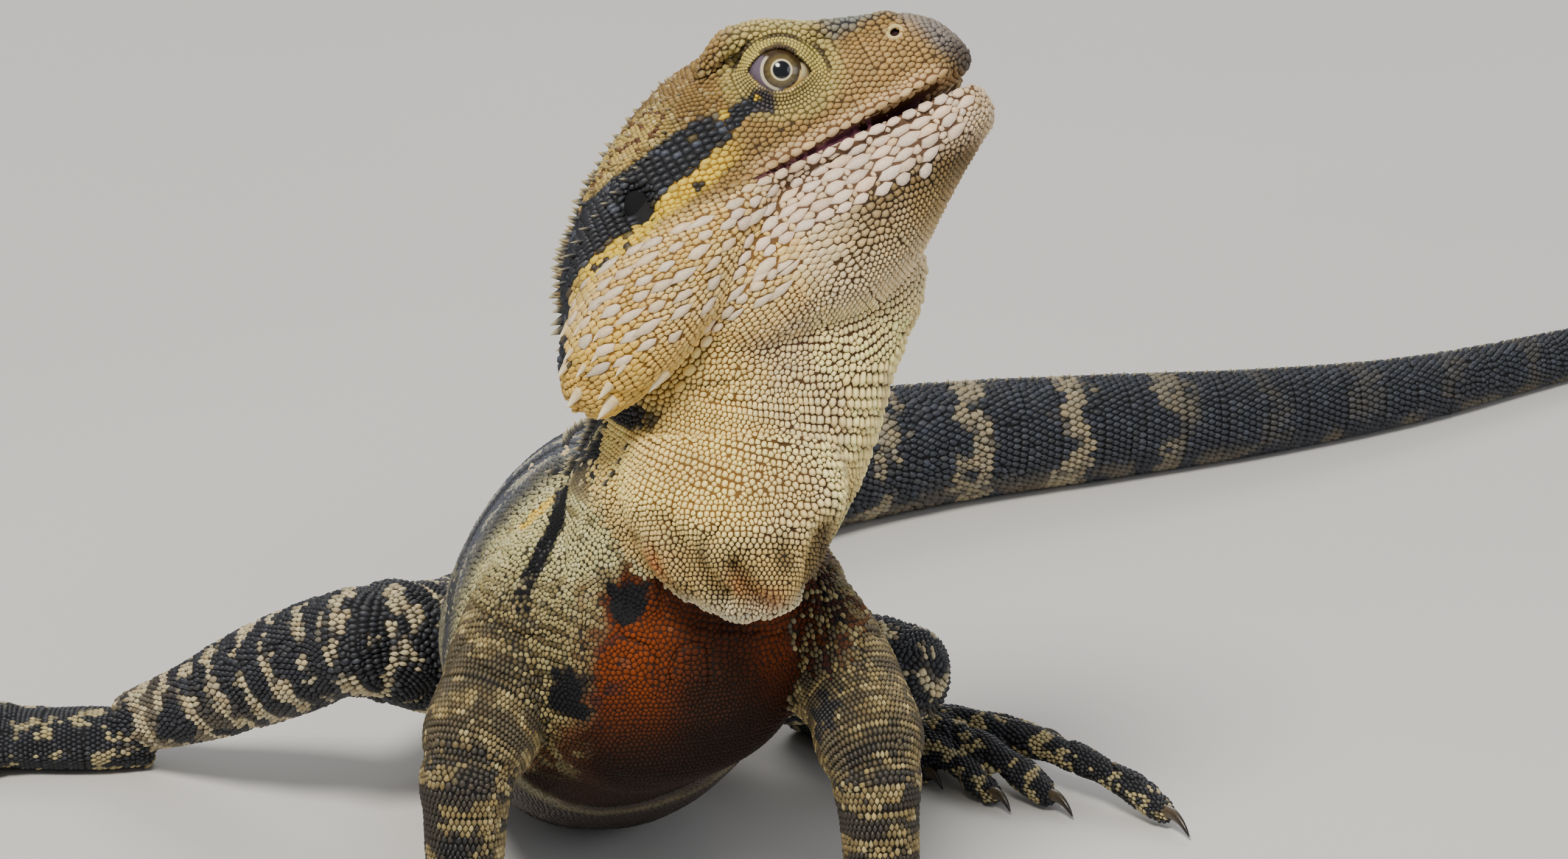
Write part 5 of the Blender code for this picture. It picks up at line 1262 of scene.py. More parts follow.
def marking(body, places, laid, marks):
    """Top and rim colours at these places, the kind of body part, and the place in the map."""
    jitter = np.stack([noise(places, 2.4, s) - 0.5 for s in (91.0, 92.0, 93.0)], axis=1) * 1.4
    found = body.find(places + jitter)
    kinds = np.array([kind_of(n) for n in body.names])[body.limb[found]]
    for n, kind in enumerate(LAID_ON):
        if kind:
            kinds[laid == n] = kind
    level = pouch_level(places)
    low = places[:, 2] < 84.0
    kinds[low & (level < 1.07) & (kinds != "head")] = "pouch"
    kinds[(np.abs(places[:, 2] - 88.0) < 10.0) & (level < 1.2) & (kinds != "head")] = "pouch"
    away = level > np.where(places[:, 2] > 75.0, 1.3, 1.07)
    kinds[low & away & ((kinds == "pouch") | (kinds == "neck"))] = "torso"
    arc, angle = body.share[found], body.angle[found]
    top, rim = np.zeros((len(places), 3)), np.zeros((len(places), 3))
    for kind in np.unique(kinds):
        pick = kinds == kind
        p, a, t = places[pick], arc[pick], angle[pick]
        if kind == "head":
            paint = head_paint(p, marks[pick])
        elif kind == "neck":
            paint = neck_paint(p, t)
        elif kind == "pouch":
            paint = throat_paint(p)
        elif kind == "torso":
            paint = torso_paint(p, t)
        elif kind in ("upper_arm", "forearm"):
            paint = arm_paint(p, a, kind == "upper_arm")
            if kind == "upper_arm":
                body_side = torso_paint(p, t)
                paint.add(smoothstep(-a, -15.0, -5.0), body_side.top, body_side.rim)
        elif kind in ("thigh", "shank"):
            paint = leg_paint(p, a, 8.4 if kind == "thigh" else 7.2)
        elif kind in ("hand", "foot"):
            paint = foot_paint(p, kind == "hand")
        else:
            paint = tail_paint(p, a, t)
        top[pick], rim[pick] = paint.top, paint.rim
    return top, rim, kinds, found


# How a scale is shaped, by kind
# height and keel as shares of its width, how far its rear stands up, how much of its cell it fills, how far
# its rear overlaps the next, and where its flat top ends
SHAPES = {
    "small": (0.24, 0.10, 0.75, 0.98, 0.18, 0.76), "stripe": (0.26, 0.26, 0.85, 0.98, 0.25, 0.72),
    "plate": (0.17, 0.07, 1.00, 1.00, 0.26, 0.80), "bead": (0.30, 0.12, 0.95, 0.94, 0.20, 0.68),
    "row": (0.22, 0.12, 0.90, 0.98, 0.22, 0.70), "chest": (0.13, 0.05, 0.9, 1.0, 0.2, 0.78),
    "keeled": (0.20, 0.26, 0.95, 0.98, 0.28, 0.74),
    "lip": (0.17, 0.03, 0.60, 0.99, 0.08, 0.84), "raised": (0.26, 0.10, 0.90, 1.0, 0.28, 0.78),
    "lid": (0.24, 0.0, 0.1, 0.96, 0.0, 0.74), "rough": (0.27, 0.42, 1.0, 0.98, 0.32, 0.68),
}


def scale_shapes(kinds, marks, places, sizes):
    """The name of each scale's shape."""
    f, r, h = in_head(places).T
    shape = np.full(len(places), "row", dtype=object)
    head = kinds == "head"
    shape[head] = "small"
    stripe = in_stripe(f, h) > 0.5
    shape[head & (h > 5.5) & (f < 30.0)] = "rough"
    shape[head & stripe & (np.abs(r) > 8)] = "stripe"
    shape[head & (sizes > 1.25) & ~stripe] = "plate"
    shape[head & (h < -15) & (np.abs(r) < 13)] = "bead"
    shape[(kinds == "neck") & (sizes > 1.0)] = "bead"
    shape[kinds == "pouch"] = "bead"
    shape[(kinds == "torso") & (places[:, 1] < 20.0) & (places[:, 0] > -38.0)] = "chest"
    for kind in ("upper_arm", "forearm", "thigh", "shank", "tail", "hand", "foot"):
        shape[kinds == kind] = "keeled"
    for mark, name in ((1, "lid"), (2, "lip"), (3, "raised"), (4, "plate")):
        shape[marks == mark] = name
    return shape


# a lone scale or plate grows to this share of its own length and breadth, from its middle
CELL_CAP, PLATE_CAP = 0.80, 0.66


def cell_reach(rows, out, along, across, near, count):
    """How far each scale reaches in each direction before it meets its neighbours, in fair shares."""
    apart = rows[near][:, :, :3] - rows[:, None, :3]
    level = np.abs(np.einsum("nkc,nc->nk", apart, out)) < 0.7 * np.linalg.norm(apart, axis=2)
    du = np.einsum("nkc,nc->nk", apart, along)
    dv = np.einsum("nkc,nc->nk", apart, across)
    own = np.hypot(du / rows[:, None, LONG], dv / rows[:, None, WIDE])
    other = np.hypot(du / rows[near][:, :, LONG], dv / rows[near][:, :, WIDE])
    own = np.maximum(own, 1e-6)
    border = np.where(level, own * other / (own + np.maximum(other, 1e-6)), np.inf)
    du, dv = du / rows[:, None, LONG] / own, dv / rows[:, None, WIDE] / own
    grown = np.where(rows[:, MARK] > 1, PLATE_CAP, CELL_CAP)
    reach = np.full((len(rows), count), np.inf)
    for m in range(count):
        c, s = math.cos(2 * math.pi * m / count), math.sin(2 * math.pi * m / count)
        dot = du * (c / rows[:, LONG])[:, None] + dv * (s / rows[:, WIDE])[:, None]
        way = np.where(dot > 0.02, border / np.maximum(dot, 0.02), np.inf)
        cap = grown / np.sqrt((c / rows[:, LONG]) ** 2 + (s / rows[:, WIDE]) ** 2)
        reach[:, m] = np.minimum(way.min(axis=1), cap)
    return reach


def off_slit(points, places):
    """Draws the scales beside the mouth back from its slit."""
    f, r, h = (c.reshape(points.shape[:2]) for c in in_head(points.reshape(-1, 3)).T)
    lower = np.interp(f, *np.array(LOWER_LIP).T)
    above = (in_head(places)[:, 2] > MOUTH_LINE - 0.15)[:, None]
    to = np.where(above, np.maximum(h, MOUTH_LINE + 0.24), np.minimum(h, lower - 0.14))
    beside = (f > MOUTH_BACK) & (np.abs(r) > 2.0) & (np.abs(h - MOUTH_LINE) < 5.0)
    return points + UPWARD * np.where(beside, to - h, 0.0)[..., None]


def scales_object(name, pick, data, corners, material):
    """One mesh that holds every scale of this piece."""
    p, n, u, v = (data[k][pick] for k in ("place", "normal", "along", "across"))
    reach, size = data["reach"][corners][pick], data["size"][pick]
    shape = np.array([SHAPES[s] for s in data["shape"][pick]])
    height = size * shape[:, 0] * data["vary"][pick]
    keel, lift, fill, over, flat_share = size * shape[:, 1], *shape[:, 2:].T
    angles = 2 * np.pi * np.arange(corners) / corners
    c, s = np.cos(angles)[None, :], np.sin(angles)[None, :]
    way = u[:, None, :] * c[..., None] + v[:, None, :] * s[..., None]
    rear = np.clip(c, 0, 1) ** 1.5
    out = (reach * fill[:, None]) * (1 + over[:, None] * rear)
    rim_height = -0.14 + (height * lift)[:, None] * 0.9 * rear
    rim = p[:, None, :] + way * out[..., None] + n[:, None, :] * rim_height[..., None]
    mid_height = height[:, None] * (0.84 + 0.45 * lift[:, None] * c) + keel[:, None] * 0.7 * c ** 4
    mid = p[:, None, :] + way * (out * flat_share[:, None])[..., None] + n[:, None, :] * mid_height[..., None]
    top = p + u * (size * 0.08)[:, None] + n * (height * (1 + 0.1 * lift) + keel)[:, None]
    count = len(p)
    points = np.concatenate([rim, mid, top[:, None, :]], axis=1)
    if name.startswith("scales_head"):
        points = off_slit(points, p)
    points[..., 2] = np.maximum(points[..., 2], 0.0)
    per = 2 * corners + 1
    base = (np.arange(count) * per)[:, None]
    k = np.arange(corners)
    after = (k + 1) % corners
    quads = np.stack([base + k, base + after, base + corners + after, base + corners + k], axis=2)
    peaks = np.stack([base + corners + k, base + corners + after, base + 2 * corners + 0 * k], axis=2)
    flat = np.concatenate([quads.reshape(count, -1), peaks.reshape(count, -1)], axis=1).ravel()
    face_sizes = np.tile(np.concatenate([np.full(corners, 4), np.full(corners, 3)]), count)
    mesh = numpy_mesh(name, points.reshape(-1, 3), flat, face_sizes)
    colour = np.ones((count, per, 3))
    top_colour, rim_colour = data["top"][pick], data["rim"][pick]
    # painted shade and highlight: the rim, down between the scales, takes the darker rim colour; the raised rear
    # of the rim is painted lighter, towards the top colour; the mid ring and peak take nearly the top colour
    lit = (0.55 * lift[:, None] * rear)[..., None]
    colour[:, :corners] = rim_colour[:, None, :] * (1 - lit) + top_colour[:, None, :] * lit
    colour[:, corners:2 * corners] = (0.92 * top_colour + 0.08 * rim_colour)[:, None, :]
    colour[:, -1] = top_colour
    set_marking(mesh, colour.reshape(-1, 3))
    flat_map = np.zeros((count, per, 2))
    flat_map[:, :corners, 0], flat_map[:, :corners, 1] = 0.0015 * c, 0.0015 * s
    flat_map[:, corners:2 * corners, 0], flat_map[:, corners:2 * corners, 1] = 0.0010 * c, 0.0010 * s
    flat_map += data["unwrap"][pick][:, None, :]
    layer = mesh.uv_layers.new(name="OFBake")
    layer.data.foreach_set("uv", flat_map.reshape(-1, 2)[flat].astype(np.float32).ravel())
    obj = add_object(name, mesh, material)
    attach(obj, "root")
    return obj


# Materials
def new_material(name):
    made = bpy.data.materials.new(name)
    made.use_nodes = True
    return made, made.node_tree.nodes, made.node_tree.links, made.node_tree.nodes["Principled BSDF"]


def grained_marking(nodes, links, shader, grain, light):
    """Colours the shader by the marking, made lighter and darker by fine noise, and returns the noise."""
    mark = nodes.new("ShaderNodeAttribute")
    mark.attribute_name = "marking"
    place = nodes.new("ShaderNodeTexCoord")
    fine = nodes.new("ShaderNodeTexNoise")
    fine.inputs["Scale"].default_value = grain
    links.new(place.outputs["Object"], fine.inputs["Vector"])
    spread = nodes.new("ShaderNodeMapRange")
    spread.inputs["To Min"].default_value, spread.inputs["To Max"].default_value = light
    links.new(fine.outputs["Fac"], spread.inputs["Value"])
    tint = nodes.new("ShaderNodeVectorMath")
    tint.operation = "SCALE"
    links.new(mark.outputs["Color"], tint.inputs[0])
    links.new(spread.outputs["Result"], tint.inputs["Scale"])
    links.new(tint.outputs["Vector"], shader.inputs["Base Color"])
    return fine, spread


def marked_material(name, grain, roughness, bump, specular=0.45, light=(0.82, 1.14)):
    """Colour from the marking, broken up by fine grain, with a rough, slightly waxy surface."""
    made, nodes, links, shader = new_material(name)
    fine, spread = grained_marking(nodes, links, shader, grain, light)
    fine.inputs["Detail"].default_value = 4.0
    fine.inputs["Roughness"].default_value = 0.62
    spread.inputs["From Min"].default_value, spread.inputs["From Max"].default_value = 0.3, 0.7
    rough = nodes.new("ShaderNodeMapRange")
    rough.inputs["To Min"].default_value = roughness - 0.10
    rough.inputs["To Max"].default_value = roughness + 0.14
    links.new(fine.outputs["Fac"], rough.inputs["Value"])
    links.new(rough.outputs["Result"], shader.inputs["Roughness"])
    raise_ = nodes.new("ShaderNodeBump")
    raise_.inputs["Strength"].default_value = bump
    raise_.inputs["Distance"].default_value = 0.00012
    links.new(fine.outputs["Fac"], raise_.inputs["Height"])
    links.new(raise_.outputs["Normal"], shader.inputs["Normal"])
    shader.inputs["Specular IOR Level"].default_value = specular
    return made


# Covering the skin
def chest_limb():
    """An upright tube through the chest, for rows that run across its front."""
    rows = smooth_rows([(-17.0, 16.0, z, 27.0, 34.0, 20.0) for z in (92.0, 62.0, 32.0, 2.0)], 90)
    return Limb("chest", rows, (0.0, -1.0, 0.0))


def cover(limbs, tree, points):
    """A row for every scale."""
    by_name = {}
    for limb in limbs:
        by_name.setdefault(limb.name, limb)
    def legs(*parts):
        return [(by_name[f"{part}_{side}"], None) for side in ("left", "right") for part in parts]

    plan = [(head_limb("head_shape", HEAD_SHAPE, 110), None), (by_name["pouch"], None),
            (by_name["neck"], None), (chest_limb(), math.radians(105))]
    plan += legs("upper_arm", "forearm")
    plan.append((by_name["torso"], None))
    plan += [(limb, None) for limb in limbs if "_toe_" in limb.name or "_sole" in limb.name]
    plan += legs("shank", "thigh")
    plan.append((by_name["tail"], None))
    kept = np.zeros((0, 10))
    for side in (1, -1):
        for made in (lid_places(tree, side), lip_places(tree, side), jowl_places(tree, side)):
            kept = np.concatenate([kept, thin_out(kept, made, 0.8 if made[0, MARK] > 2 else 0.5)])
    for limb, sector in plan:
        laid = np.zeros((0, 10))
        for size_class in range(len(CLASSES)):
            for stretch_class in range(len(STRETCHES)):
                rows = lay_rows(limb, tree, size_class, stretch_class, sector)
                laid = np.concatenate([laid, thin_out(laid, rows, 0.68)])
        kept = np.concatenate([kept, thin_out(kept, laid, 0.68, 0.80)])
    kept = relax(kept, tree, 3)
    for _ in range(2):
        kept = relax(np.concatenate([kept, fill_gaps(kept, points)]), tree, 2)
    return kept


def clear_places(rows, normals):
    """False for scales that would lie in an opening or under the belly."""
    places, marks = rows[:, :3], rows[:, MARK]
    f, r, h = in_head(places).T
    good = np.ones(len(places), bool)
    a, b = eye_plane(f, h)
    level = lid_level(f, h)
    for side in (1, -1):
        out = r * side
        near = (np.hypot(a, b) < 9.0) & (out > 6.0)
        good &= ~(near & (level < 1.02))
        rings = np.hypot(a / (LID_LONG + 3.1), b / (LID_HIGH + 3.5)) < 1.0
        good &= ~(near & (marks == 0) & rings)
        hole = np.hypot(f - NOSTRIL_CENTRE[0], h - NOSTRIL_CENTRE[2])
        good &= ~((hole < 1.25) & (out > 4.0))
        drum = np.hypot((f - EAR_CENTRE[0]) / 0.8, h - EAR_CENTRE[2])
        good &= ~((drum < EAR_RADIUS - 1.7) & (out > 10.0))
    good &= ~((mouth_opening(f, h) > -0.12) & (f > 22.0) & (np.abs(r) > 2.0))
    wall = (np.abs(normals @ RIGHTWARD) < 0.45) & (f < 55.0) & (np.abs(r) > 2.0)
    good &= ~(wall & (mouth_opening(f, h) > -0.6))
    good &= ~((normals[:, 2] < -0.85) & (places[:, 2] < 0.7))
    return good


def smooth_flow(flow, normals, near, rounds):
    for _ in range(rounds):
        flow = flow + 0.5 * flow[near].sum(axis=1)
        flow = unit(flow - normals * np.einsum("nc,nc->n", flow, normals)[:, None])
    return flow


def unwrapped(body, found):
    """Where each place is on a flat unwrap of the body: along its limb, and round it in its strip."""
    lengths = np.array([limb.arc[-1] for limb in body.limbs])
    girth = np.array([2 * math.pi * np.mean(limb.rows[:, 4]) for limb in body.limbs])
    strips = np.concatenate([[0.0], np.cumsum(girth)])
    limb = body.limb[found]
    u = 0.02 + 0.96 * body.share[found] / lengths[limb]
    v = (strips[limb] + girth[limb] * (0.03 + 0.94 * body.angle[found] / (2 * np.pi))) / strips[-1]
    return np.stack([u, v], axis=1)


def scale_data(limbs, body, skin, tree):
    """Everything that the scales' meshes need."""
    points, _, _ = mesh_arrays(skin)
    normals = vertex_normals(skin.data)
    near_skin = kd_tree(points)
    rows = cover(limbs, tree, points)
    out = normals[np.array([near_skin.find(p)[1] for p in rows[:, :3]])]
    good = clear_places(rows, out)
    rows, out = rows[good], out[good]
    places, marks = rows[:, :3], rows[:, MARK].astype(int)
    top, rim, kinds, found = marking(body, places, rows[:, KIND], marks)
    near = neighbours(places, 9)
    out = unit(out + 0.5 * out[near].mean(axis=1))
    flow = rows[:, 5:8]
    flow = unit(flow - out * np.einsum("nc,nc->n", flow, out)[:, None])
    flow = smooth_flow(flow, out, near, 5)
    across = np.cross(out, flow)
    size = np.sqrt(rows[:, LONG] * rows[:, WIDE])
    brighter = RANDOM.normal(1.0, 0.08, (len(places), 1))
    warmer = RANDOM.normal(0.0, 0.05, (len(places), 1)) * (0.6, 0.0, -1.0)
    data = {
        "place": places, "normal": out, "along": flow, "across": across, "size": rows[:, WIDE].copy(),
        "top": np.clip(top * brighter * (1 + warmer), 0.0, 1.0), "rim": rim, "kinds": kinds,
        "shape": scale_shapes(kinds, marks, places, size), "unwrap": unwrapped(body, found),
        "vary": RANDOM.uniform(0.85, 1.15, len(places)), "marks": marks,
    }
    data["reach"] = {m: cell_reach(rows, out, flow, across, near, m) for m in (6, 8)}
    return data


def paint_skin(skin, data, material):
    """The skin between the scales takes the rim colour of the nearest scale, darkened further as painted shade
    between the scales.
    """
    points, _, _ = mesh_arrays(skin)
    tree = kd_tree(data["place"])
    nearest = np.array([tree.find(p)[1] for p in points])
    # painted shade: the rim colour made darker for the skin deep between the scales
    colour = data["rim"][nearest] * 0.85
    f, r, h = in_head(points).T
    inside = smoothstep(mouth_opening(f, h), -0.35, 0.0)[:, None]
    lining = srgb(84, 42, 56) + (srgb(150, 112, 136) - srgb(84, 42, 56)) * smoothstep(f, 46.0, 57.0)[:, None]
    colour = colour * (1 - inside) + lining * inside
    for side in (1, -1):
        out = r * side
        hole = np.hypot(f - NOSTRIL_CENTRE[0], h - NOSTRIL_CENTRE[2])
        # painted shade: the nostril's pit is dark red-brown
        colour[(hole < 1.1) & (out > 3.0)] = srgb(46, 24, 22)
        a, _ = eye_plane(f, h)
        lid = (lid_level(f, h) < 1.35) & (out > 6.0) & (np.abs(a) < 7)
        colour[lid] = srgb(92, 78, 44)
        drum = np.hypot((f - EAR_CENTRE[0]) / 0.8, h - EAR_CENTRE[2])
        colour[(drum < EAR_RADIUS - 0.8) & (out > 10.0)] = srgb(22, 21, 22)
    set_marking(skin.data, colour)
    skin.data.vertices.foreach_set("co", to_world(points).ravel())
    skin.data.materials.clear()
    skin.data.materials.append(material)
    skin.data.update()
    skin.data.shade_smooth()


def thinned(skin, share):
    """The same skin with fewer faces, once nothing more is measured on it."""
    step = skin.modifiers.new("thin", "DECIMATE")
    step.ratio = share
    mesh = bpy.data.meshes.new_from_object(skin.evaluated_get(bpy.context.evaluated_depsgraph_get()))
    bpy.data.objects.remove(skin, do_unlink=True)
    return add_object("skin", mesh)


PIECE_TRIANGLES = 195000


def coat_pieces(kinds, data):
    """Splits the scales into pieces by part, each within the limit of triangles."""
    y = data["place"][:, 1]
    parts = np.array(kinds, dtype=object)
    torso = kinds == "torso"
    parts[torso] = np.where(y[torso] < 12, "chest", np.where(y[torso] < 62, "flank", "hips"))
    for kind in ("upper_arm", "forearm", "thigh", "shank"):
        parts[kinds == kind] = "arms" if "arm" in kind else "legs"
    parts[kinds == "hand"], parts[kinds == "foot"] = "hands", "feet"
    pieces = []
    for part in sorted(set(parts)):
        pick = np.nonzero(parts == part)[0]
        corners = 8 if part in ("head", "neck", "pouch") else 6
        limit = PIECE_TRIANGLES // (3 * corners)
        order = pick[np.argsort(data["place"][pick][:, 0])] if len(pick) > limit else pick
        shares = max(1, math.ceil(len(order) / limit))
        for n, chunk in enumerate(np.array_split(order, shares)):
            name = f"scales_{part}" if shares == 1 else f"scales_{part}_{n + 1}"
            pieces.append((name, chunk, corners))
    return pieces


# Spines and claws
def horn(place, out, along, height, half_long, half_wide, lean, sides=8, rings=6, curve=0.35):
    """Points, triangles and shares of height of one curved, pointed spine."""
    out, along = unit(out), unit(along)
    across = unit(np.cross(out, along))
    along = np.cross(across, out)
    angles = np.linspace(0, 2 * np.pi, sides, endpoint=False)
    made = []
    shares = np.linspace(0.0, 1.0, rings)
    for t in shares:
        middle = place - out * 0.35 + out * (height + 0.35) * t + along * height * lean * t ** (1 + curve)
        narrow = max((1 - t) ** 0.8, 0.04)
        made.append(middle + np.outer(np.cos(angles), along) * half_long * narrow
                    + np.outer(np.sin(angles), across) * half_wide * narrow)
    points, tris = tube_arrays(np.array(made))
    level = np.concatenate([np.repeat(shares, sides), [0.0, 1.0]])
    return points, tris, level


class Horns:
    """Many spines in one mesh, dark or pale at the root and with tips of another colour."""

    def __init__(self):
        self.points, self.tris, self.colours, self.flat, self.count = [], [], [], [], 0

    def add(self, shape, root, tip, unwrap=(0.5, 0.5), from_share=0.45):
        points, tris, level = shape
        self.points.append(points)
        self.tris.append(tris + self.count)
        mix = smoothstep(level, from_share, 1.0)[:, None]
        self.colours.append(np.asarray(root) * (1 - mix) + np.asarray(tip) * mix)
        self.flat.append(np.tile(np.array(unwrap, float), (len(points), 1)))
        self.count += len(points)

    def build(self, name, material):
        points, tris = np.concatenate(self.points), np.concatenate(self.tris)
        points[:, 2] = np.maximum(points[:, 2], 0.0)
        mesh = numpy_mesh(name, points, tris.ravel(), np.full(len(tris), 3))
        set_marking(mesh, np.concatenate(self.colours))
        flat = np.concatenate(self.flat)
        turn = np.arange(len(points)) * 2.4
        spread = 0.0012 * np.stack([np.cos(turn), np.sin(turn)], 1)
        layer = mesh.uv_layers.new(name="OFBake")
        layer.data.foreach_set("uv", (flat + spread)[tris.ravel()].astype(np.float32).ravel())
        obj = add_object(name, mesh, material)
        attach(obj, "root")
        return obj


def surface_at(tree, start, out):
    """The outermost place of the skin on the line out from this start."""
    start, out = np.asarray(start, float), unit(np.asarray(out, float))
    far = start + out * 60.0
    hit = tree.ray_cast(Vector(far), Vector(-out), 60.0)[0]
    return None if hit is None else np.array(hit)


def crest_horns(tree, limbs, body):
    horns = Horns()
    dark, pale = srgb(34, 34, 37), srgb(190, 178, 140)

    def plant(start, out, along, height, lean=0.55, off_head=False):
        place = surface_at(tree, start, out)
        if place is None:
            return
        found = body.find(place[None])
        if off_head and kind_of(body.names[body.limb[found[0]]]) == "head":
            return
        spot = unwrapped(body, found)[0]
        size = height * RANDOM.uniform(0.82, 1.15)
        spine = horn(place, np.asarray(out), np.asarray(along), size, size * 0.36 + 0.35, size * 0.17 + 0.28, lean)
        horns.add(spine, dark, pale, spot, 0.5)

    count = 30
    for k in range(count):
        s = k / (count - 1)
        start = head_point(23.0 - 33.0 * s, 0.0, -4.0 - 8.0 * s)
        out = UPWARD * (1.0 - 0.4 * s) - AHEAD * (0.1 + 0.6 * s)
        plant(start, out, -AHEAD, float(np.interp(s, (0, 0.35, 0.7, 1), (1.1, 2.0, 2.8, 3.0))), 0.35)
    # shorter ones scattered over the back of the head, above the stripe
    for _ in range(260):
        ahead, aside = RANDOM.uniform(-15.0, 19.0), RANDOM.uniform(-1.15, 1.15)
        start = head_point(ahead, 0.0, -5.0 + 0.25 * ahead)
        out = UPWARD * math.cos(aside) + RIGHTWARD * math.sin(aside) - AHEAD * (0.1 + 0.02 * (17.0 - ahead))
        place = surface_at(tree, start, out)
        if place is None:
            continue
        f, r, h = in_head(place[None])[0]
        if abs(r) > 6.0 and h < np.interp(f, *np.array(STRIPE_HIGH).T) - 0.5:
            continue
        size = RANDOM.uniform(0.75, 1.3) * float(np.interp(ahead, (-15.0, 19.0), (2.0, 1.1)))
        root = dark if RANDOM.uniform() < 0.5 else srgb(92, 70, 38)
        horns.add(horn(place, out, -AHEAD, size, 0.58, 0.46, 0.22, sides=6), root, srgb(176, 156, 108),
                  unwrapped(body, body.find(place[None]))[0], 0.35)
    for name, reach, heights, spacing in (
            ("neck", (0.26, 0.84), ((0.26, 2.8), (0.84, 2.4)), 1.9),
            ("torso", (0.3, 0.985), ((0.3, 2.3), (0.5, 1.7), (1.0, 1.8)), 2.1),
            ("tail", (0.005, 0.6), ((0.0, 1.7), (0.2, 1.4), (0.4, 1.0), (0.6, 0.5)), 2.2)):
        limb = next(x for x in limbs if x.name == name)
        total = limb.arc[-1]
        for s in np.arange(reach[0] * total, reach[1] * total, spacing):
            i = int(np.searchsorted(limb.arc, s))
            height = float(np.interp(s / total, *np.array(heights).T))
            plant(limb.centre[i], limb.up[i], limb.along[i], height)
        if name != "neck":
            continue
        # two lower rows of small spines on each side of the nape
        for aside, height in ((0.42, 1.7), (-0.42, 1.7), (0.85, 1.3), (-0.85, 1.3)):
            for s in np.arange(0.24 * total, 0.7 * total, 2.6):
                i = int(np.searchsorted(limb.arc, s + RANDOM.uniform(-0.5, 0.5)))
                out = limb.up[i] * math.cos(aside) + limb.across[i] * math.sin(aside)
                plant(limb.centre[i], out, limb.along[i], height, off_head=True)
    return horns


# ahead, up and size
JOWL_SPINES = [(-19, -12, 1.6), (-21, -17, 2.0), (-22, -22, 2.4), (-18, -26, 2.8), (-15, -18, 1.6),
               (-12, -12, 1.3), (-11, -27, 2.8), (-14, -23, 2.0), (-8, -21, 1.4), (-7, -14, 1.2),
               (-17, -15, 1.5), (-10, -17, 1.3)]


def face_horns(tree, body):
    """The pale spines of the jowls, and the dark rows over the ears and down the nape."""
    horns = Horns()
    white, cream = srgb(240, 228, 196), srgb(214, 190, 138)
    dark, pale = srgb(38, 38, 42), srgb(168, 158, 124)
    for side in (1, -1):
        for ahead, height, size in JOWL_SPINES:
            start = head_point(ahead + 9.0, 13.0 * side, height + 3.0)
            out = head_point(ahead, 19.0 * side, height) - start
            place = surface_at(tree, start, out)
            if place is None:
                continue
            spot = unwrapped(body, body.find(place[None]))[0]
            way = unit(out) - AHEAD * 0.6 - UPWARD * 0.3
            spine = horn(place, way, -AHEAD - UPWARD * 0.4, size * 1.35, size * 0.5, size * 0.45, 0.35)
            horns.add(spine, cream, white, spot, 0.1)
        for k in range(26):
            s = k / 25
            for row, (up, out_side) in enumerate(((2.0, 5.0), (1.0, 8.0), (-0.5, 11.0))):
                start = head_point(14.0 - 27.0 * s, out_side * side, up - 8.0 * s)
                out = UPWARD * (0.8 - 0.25 * row) + RIGHTWARD * side * (0.5 + 0.3 * row) - AHEAD * 0.3 * s
                place = surface_at(tree, start, out)
                if place is None or (k + row) % 2:
                    continue
                spot = unwrapped(body, body.find(place[None]))[0]
                size = RANDOM.uniform(0.8, 1.2) * (1.0 + 1.4 * s)
                f, _, h = in_head(place[None])[0]
                if h < np.interp(f, *np.array(STRIPE_LOW).T) + 1.5:
                    continue
                black = f < -6.0 or in_stripe(np.array([f]), np.array([h]))[0] > 0.3
                root = dark if black else srgb(112, 84, 46)
                horns.add(horn(place, out - AHEAD * 0.4 * s, -AHEAD, size, 0.75, 0.5, 0.5, sides=6), root,
                          pale, spot, 0.5)
    return horns


def claw_horns(claws):
    """Curved claws, dark and glossy, pale at the root."""
    horns = Horns()
    for base, tip, _ in claws:
        middle = (base + tip) / 2 + np.array((0, 0, 1.3))
        rows = []
        for t in np.linspace(0, 1, 12):
            p = (1 - t) ** 2 * base + 2 * t * (1 - t) * (middle * 2 - (base + tip) / 2) + t * t * tip
            r = 1.25 * (1 - t) ** 0.7 + 0.12
            rows.append((*p, r * 0.82, r, r))
        limb = Limb("claw", np.array(rows), vertical(rows))
        points, tris = tube_arrays(limb.points(12))
        level = np.concatenate([np.repeat(np.linspace(0, 1, 12), 12), [0.0, 1.0]])
        horns.add((points, tris, level), srgb(88, 76, 58), srgb(26, 22, 20), (0.5, 0.5), 0.0)
    return horns


# Eyes and ears
def eye_material():
    made, nodes, links, shader = new_material("eye_glass")
    grained_marking(nodes, links, shader, 5200.0, (0.7, 1.3))
    shader.inputs["Roughness"].default_value = 0.14
    shader.inputs["Specular IOR Level"].default_value = 0.35
    shader.inputs["Coat Weight"].default_value = 0.5
    shader.inputs["Coat Roughness"].default_value = 0.03
    return made


# degrees from the gaze, and the colour there: the pupil, its pale ring, the iris, and beyond it a dark brown that
# is painted shadow of the upper lid, where no patch below covers it
EYE_BANDS = ((0.0, srgb(8, 10, 16)), (15.2, srgb(8, 10, 16)), (16.2, srgb(226, 216, 182)),
             (18.2, srgb(206, 194, 146)), (19.4, srgb(98, 84, 48)), (25.0, srgb(82, 70, 38)),
             (29.5, srgb(64, 52, 29)), (32.0, srgb(52, 40, 24)), (34.0, srgb(58, 44, 28)),
             (180.0, srgb(58, 44, 28)))
# by turn round the gaze: its middle, half width, first and last degrees from the gaze, colour
EYE_PATCHES = ((208.0, 66.0, 32.5, 180.0, srgb(98, 86, 100)), (200.0, 62.0, 32.0, 37.4, srgb(196, 186, 156)),
               (-38.0, 38.0, 34.0, 180.0, srgb(222, 186, 108)), (2.0, 18.0, 38.0, 180.0, srgb(206, 190, 146)))


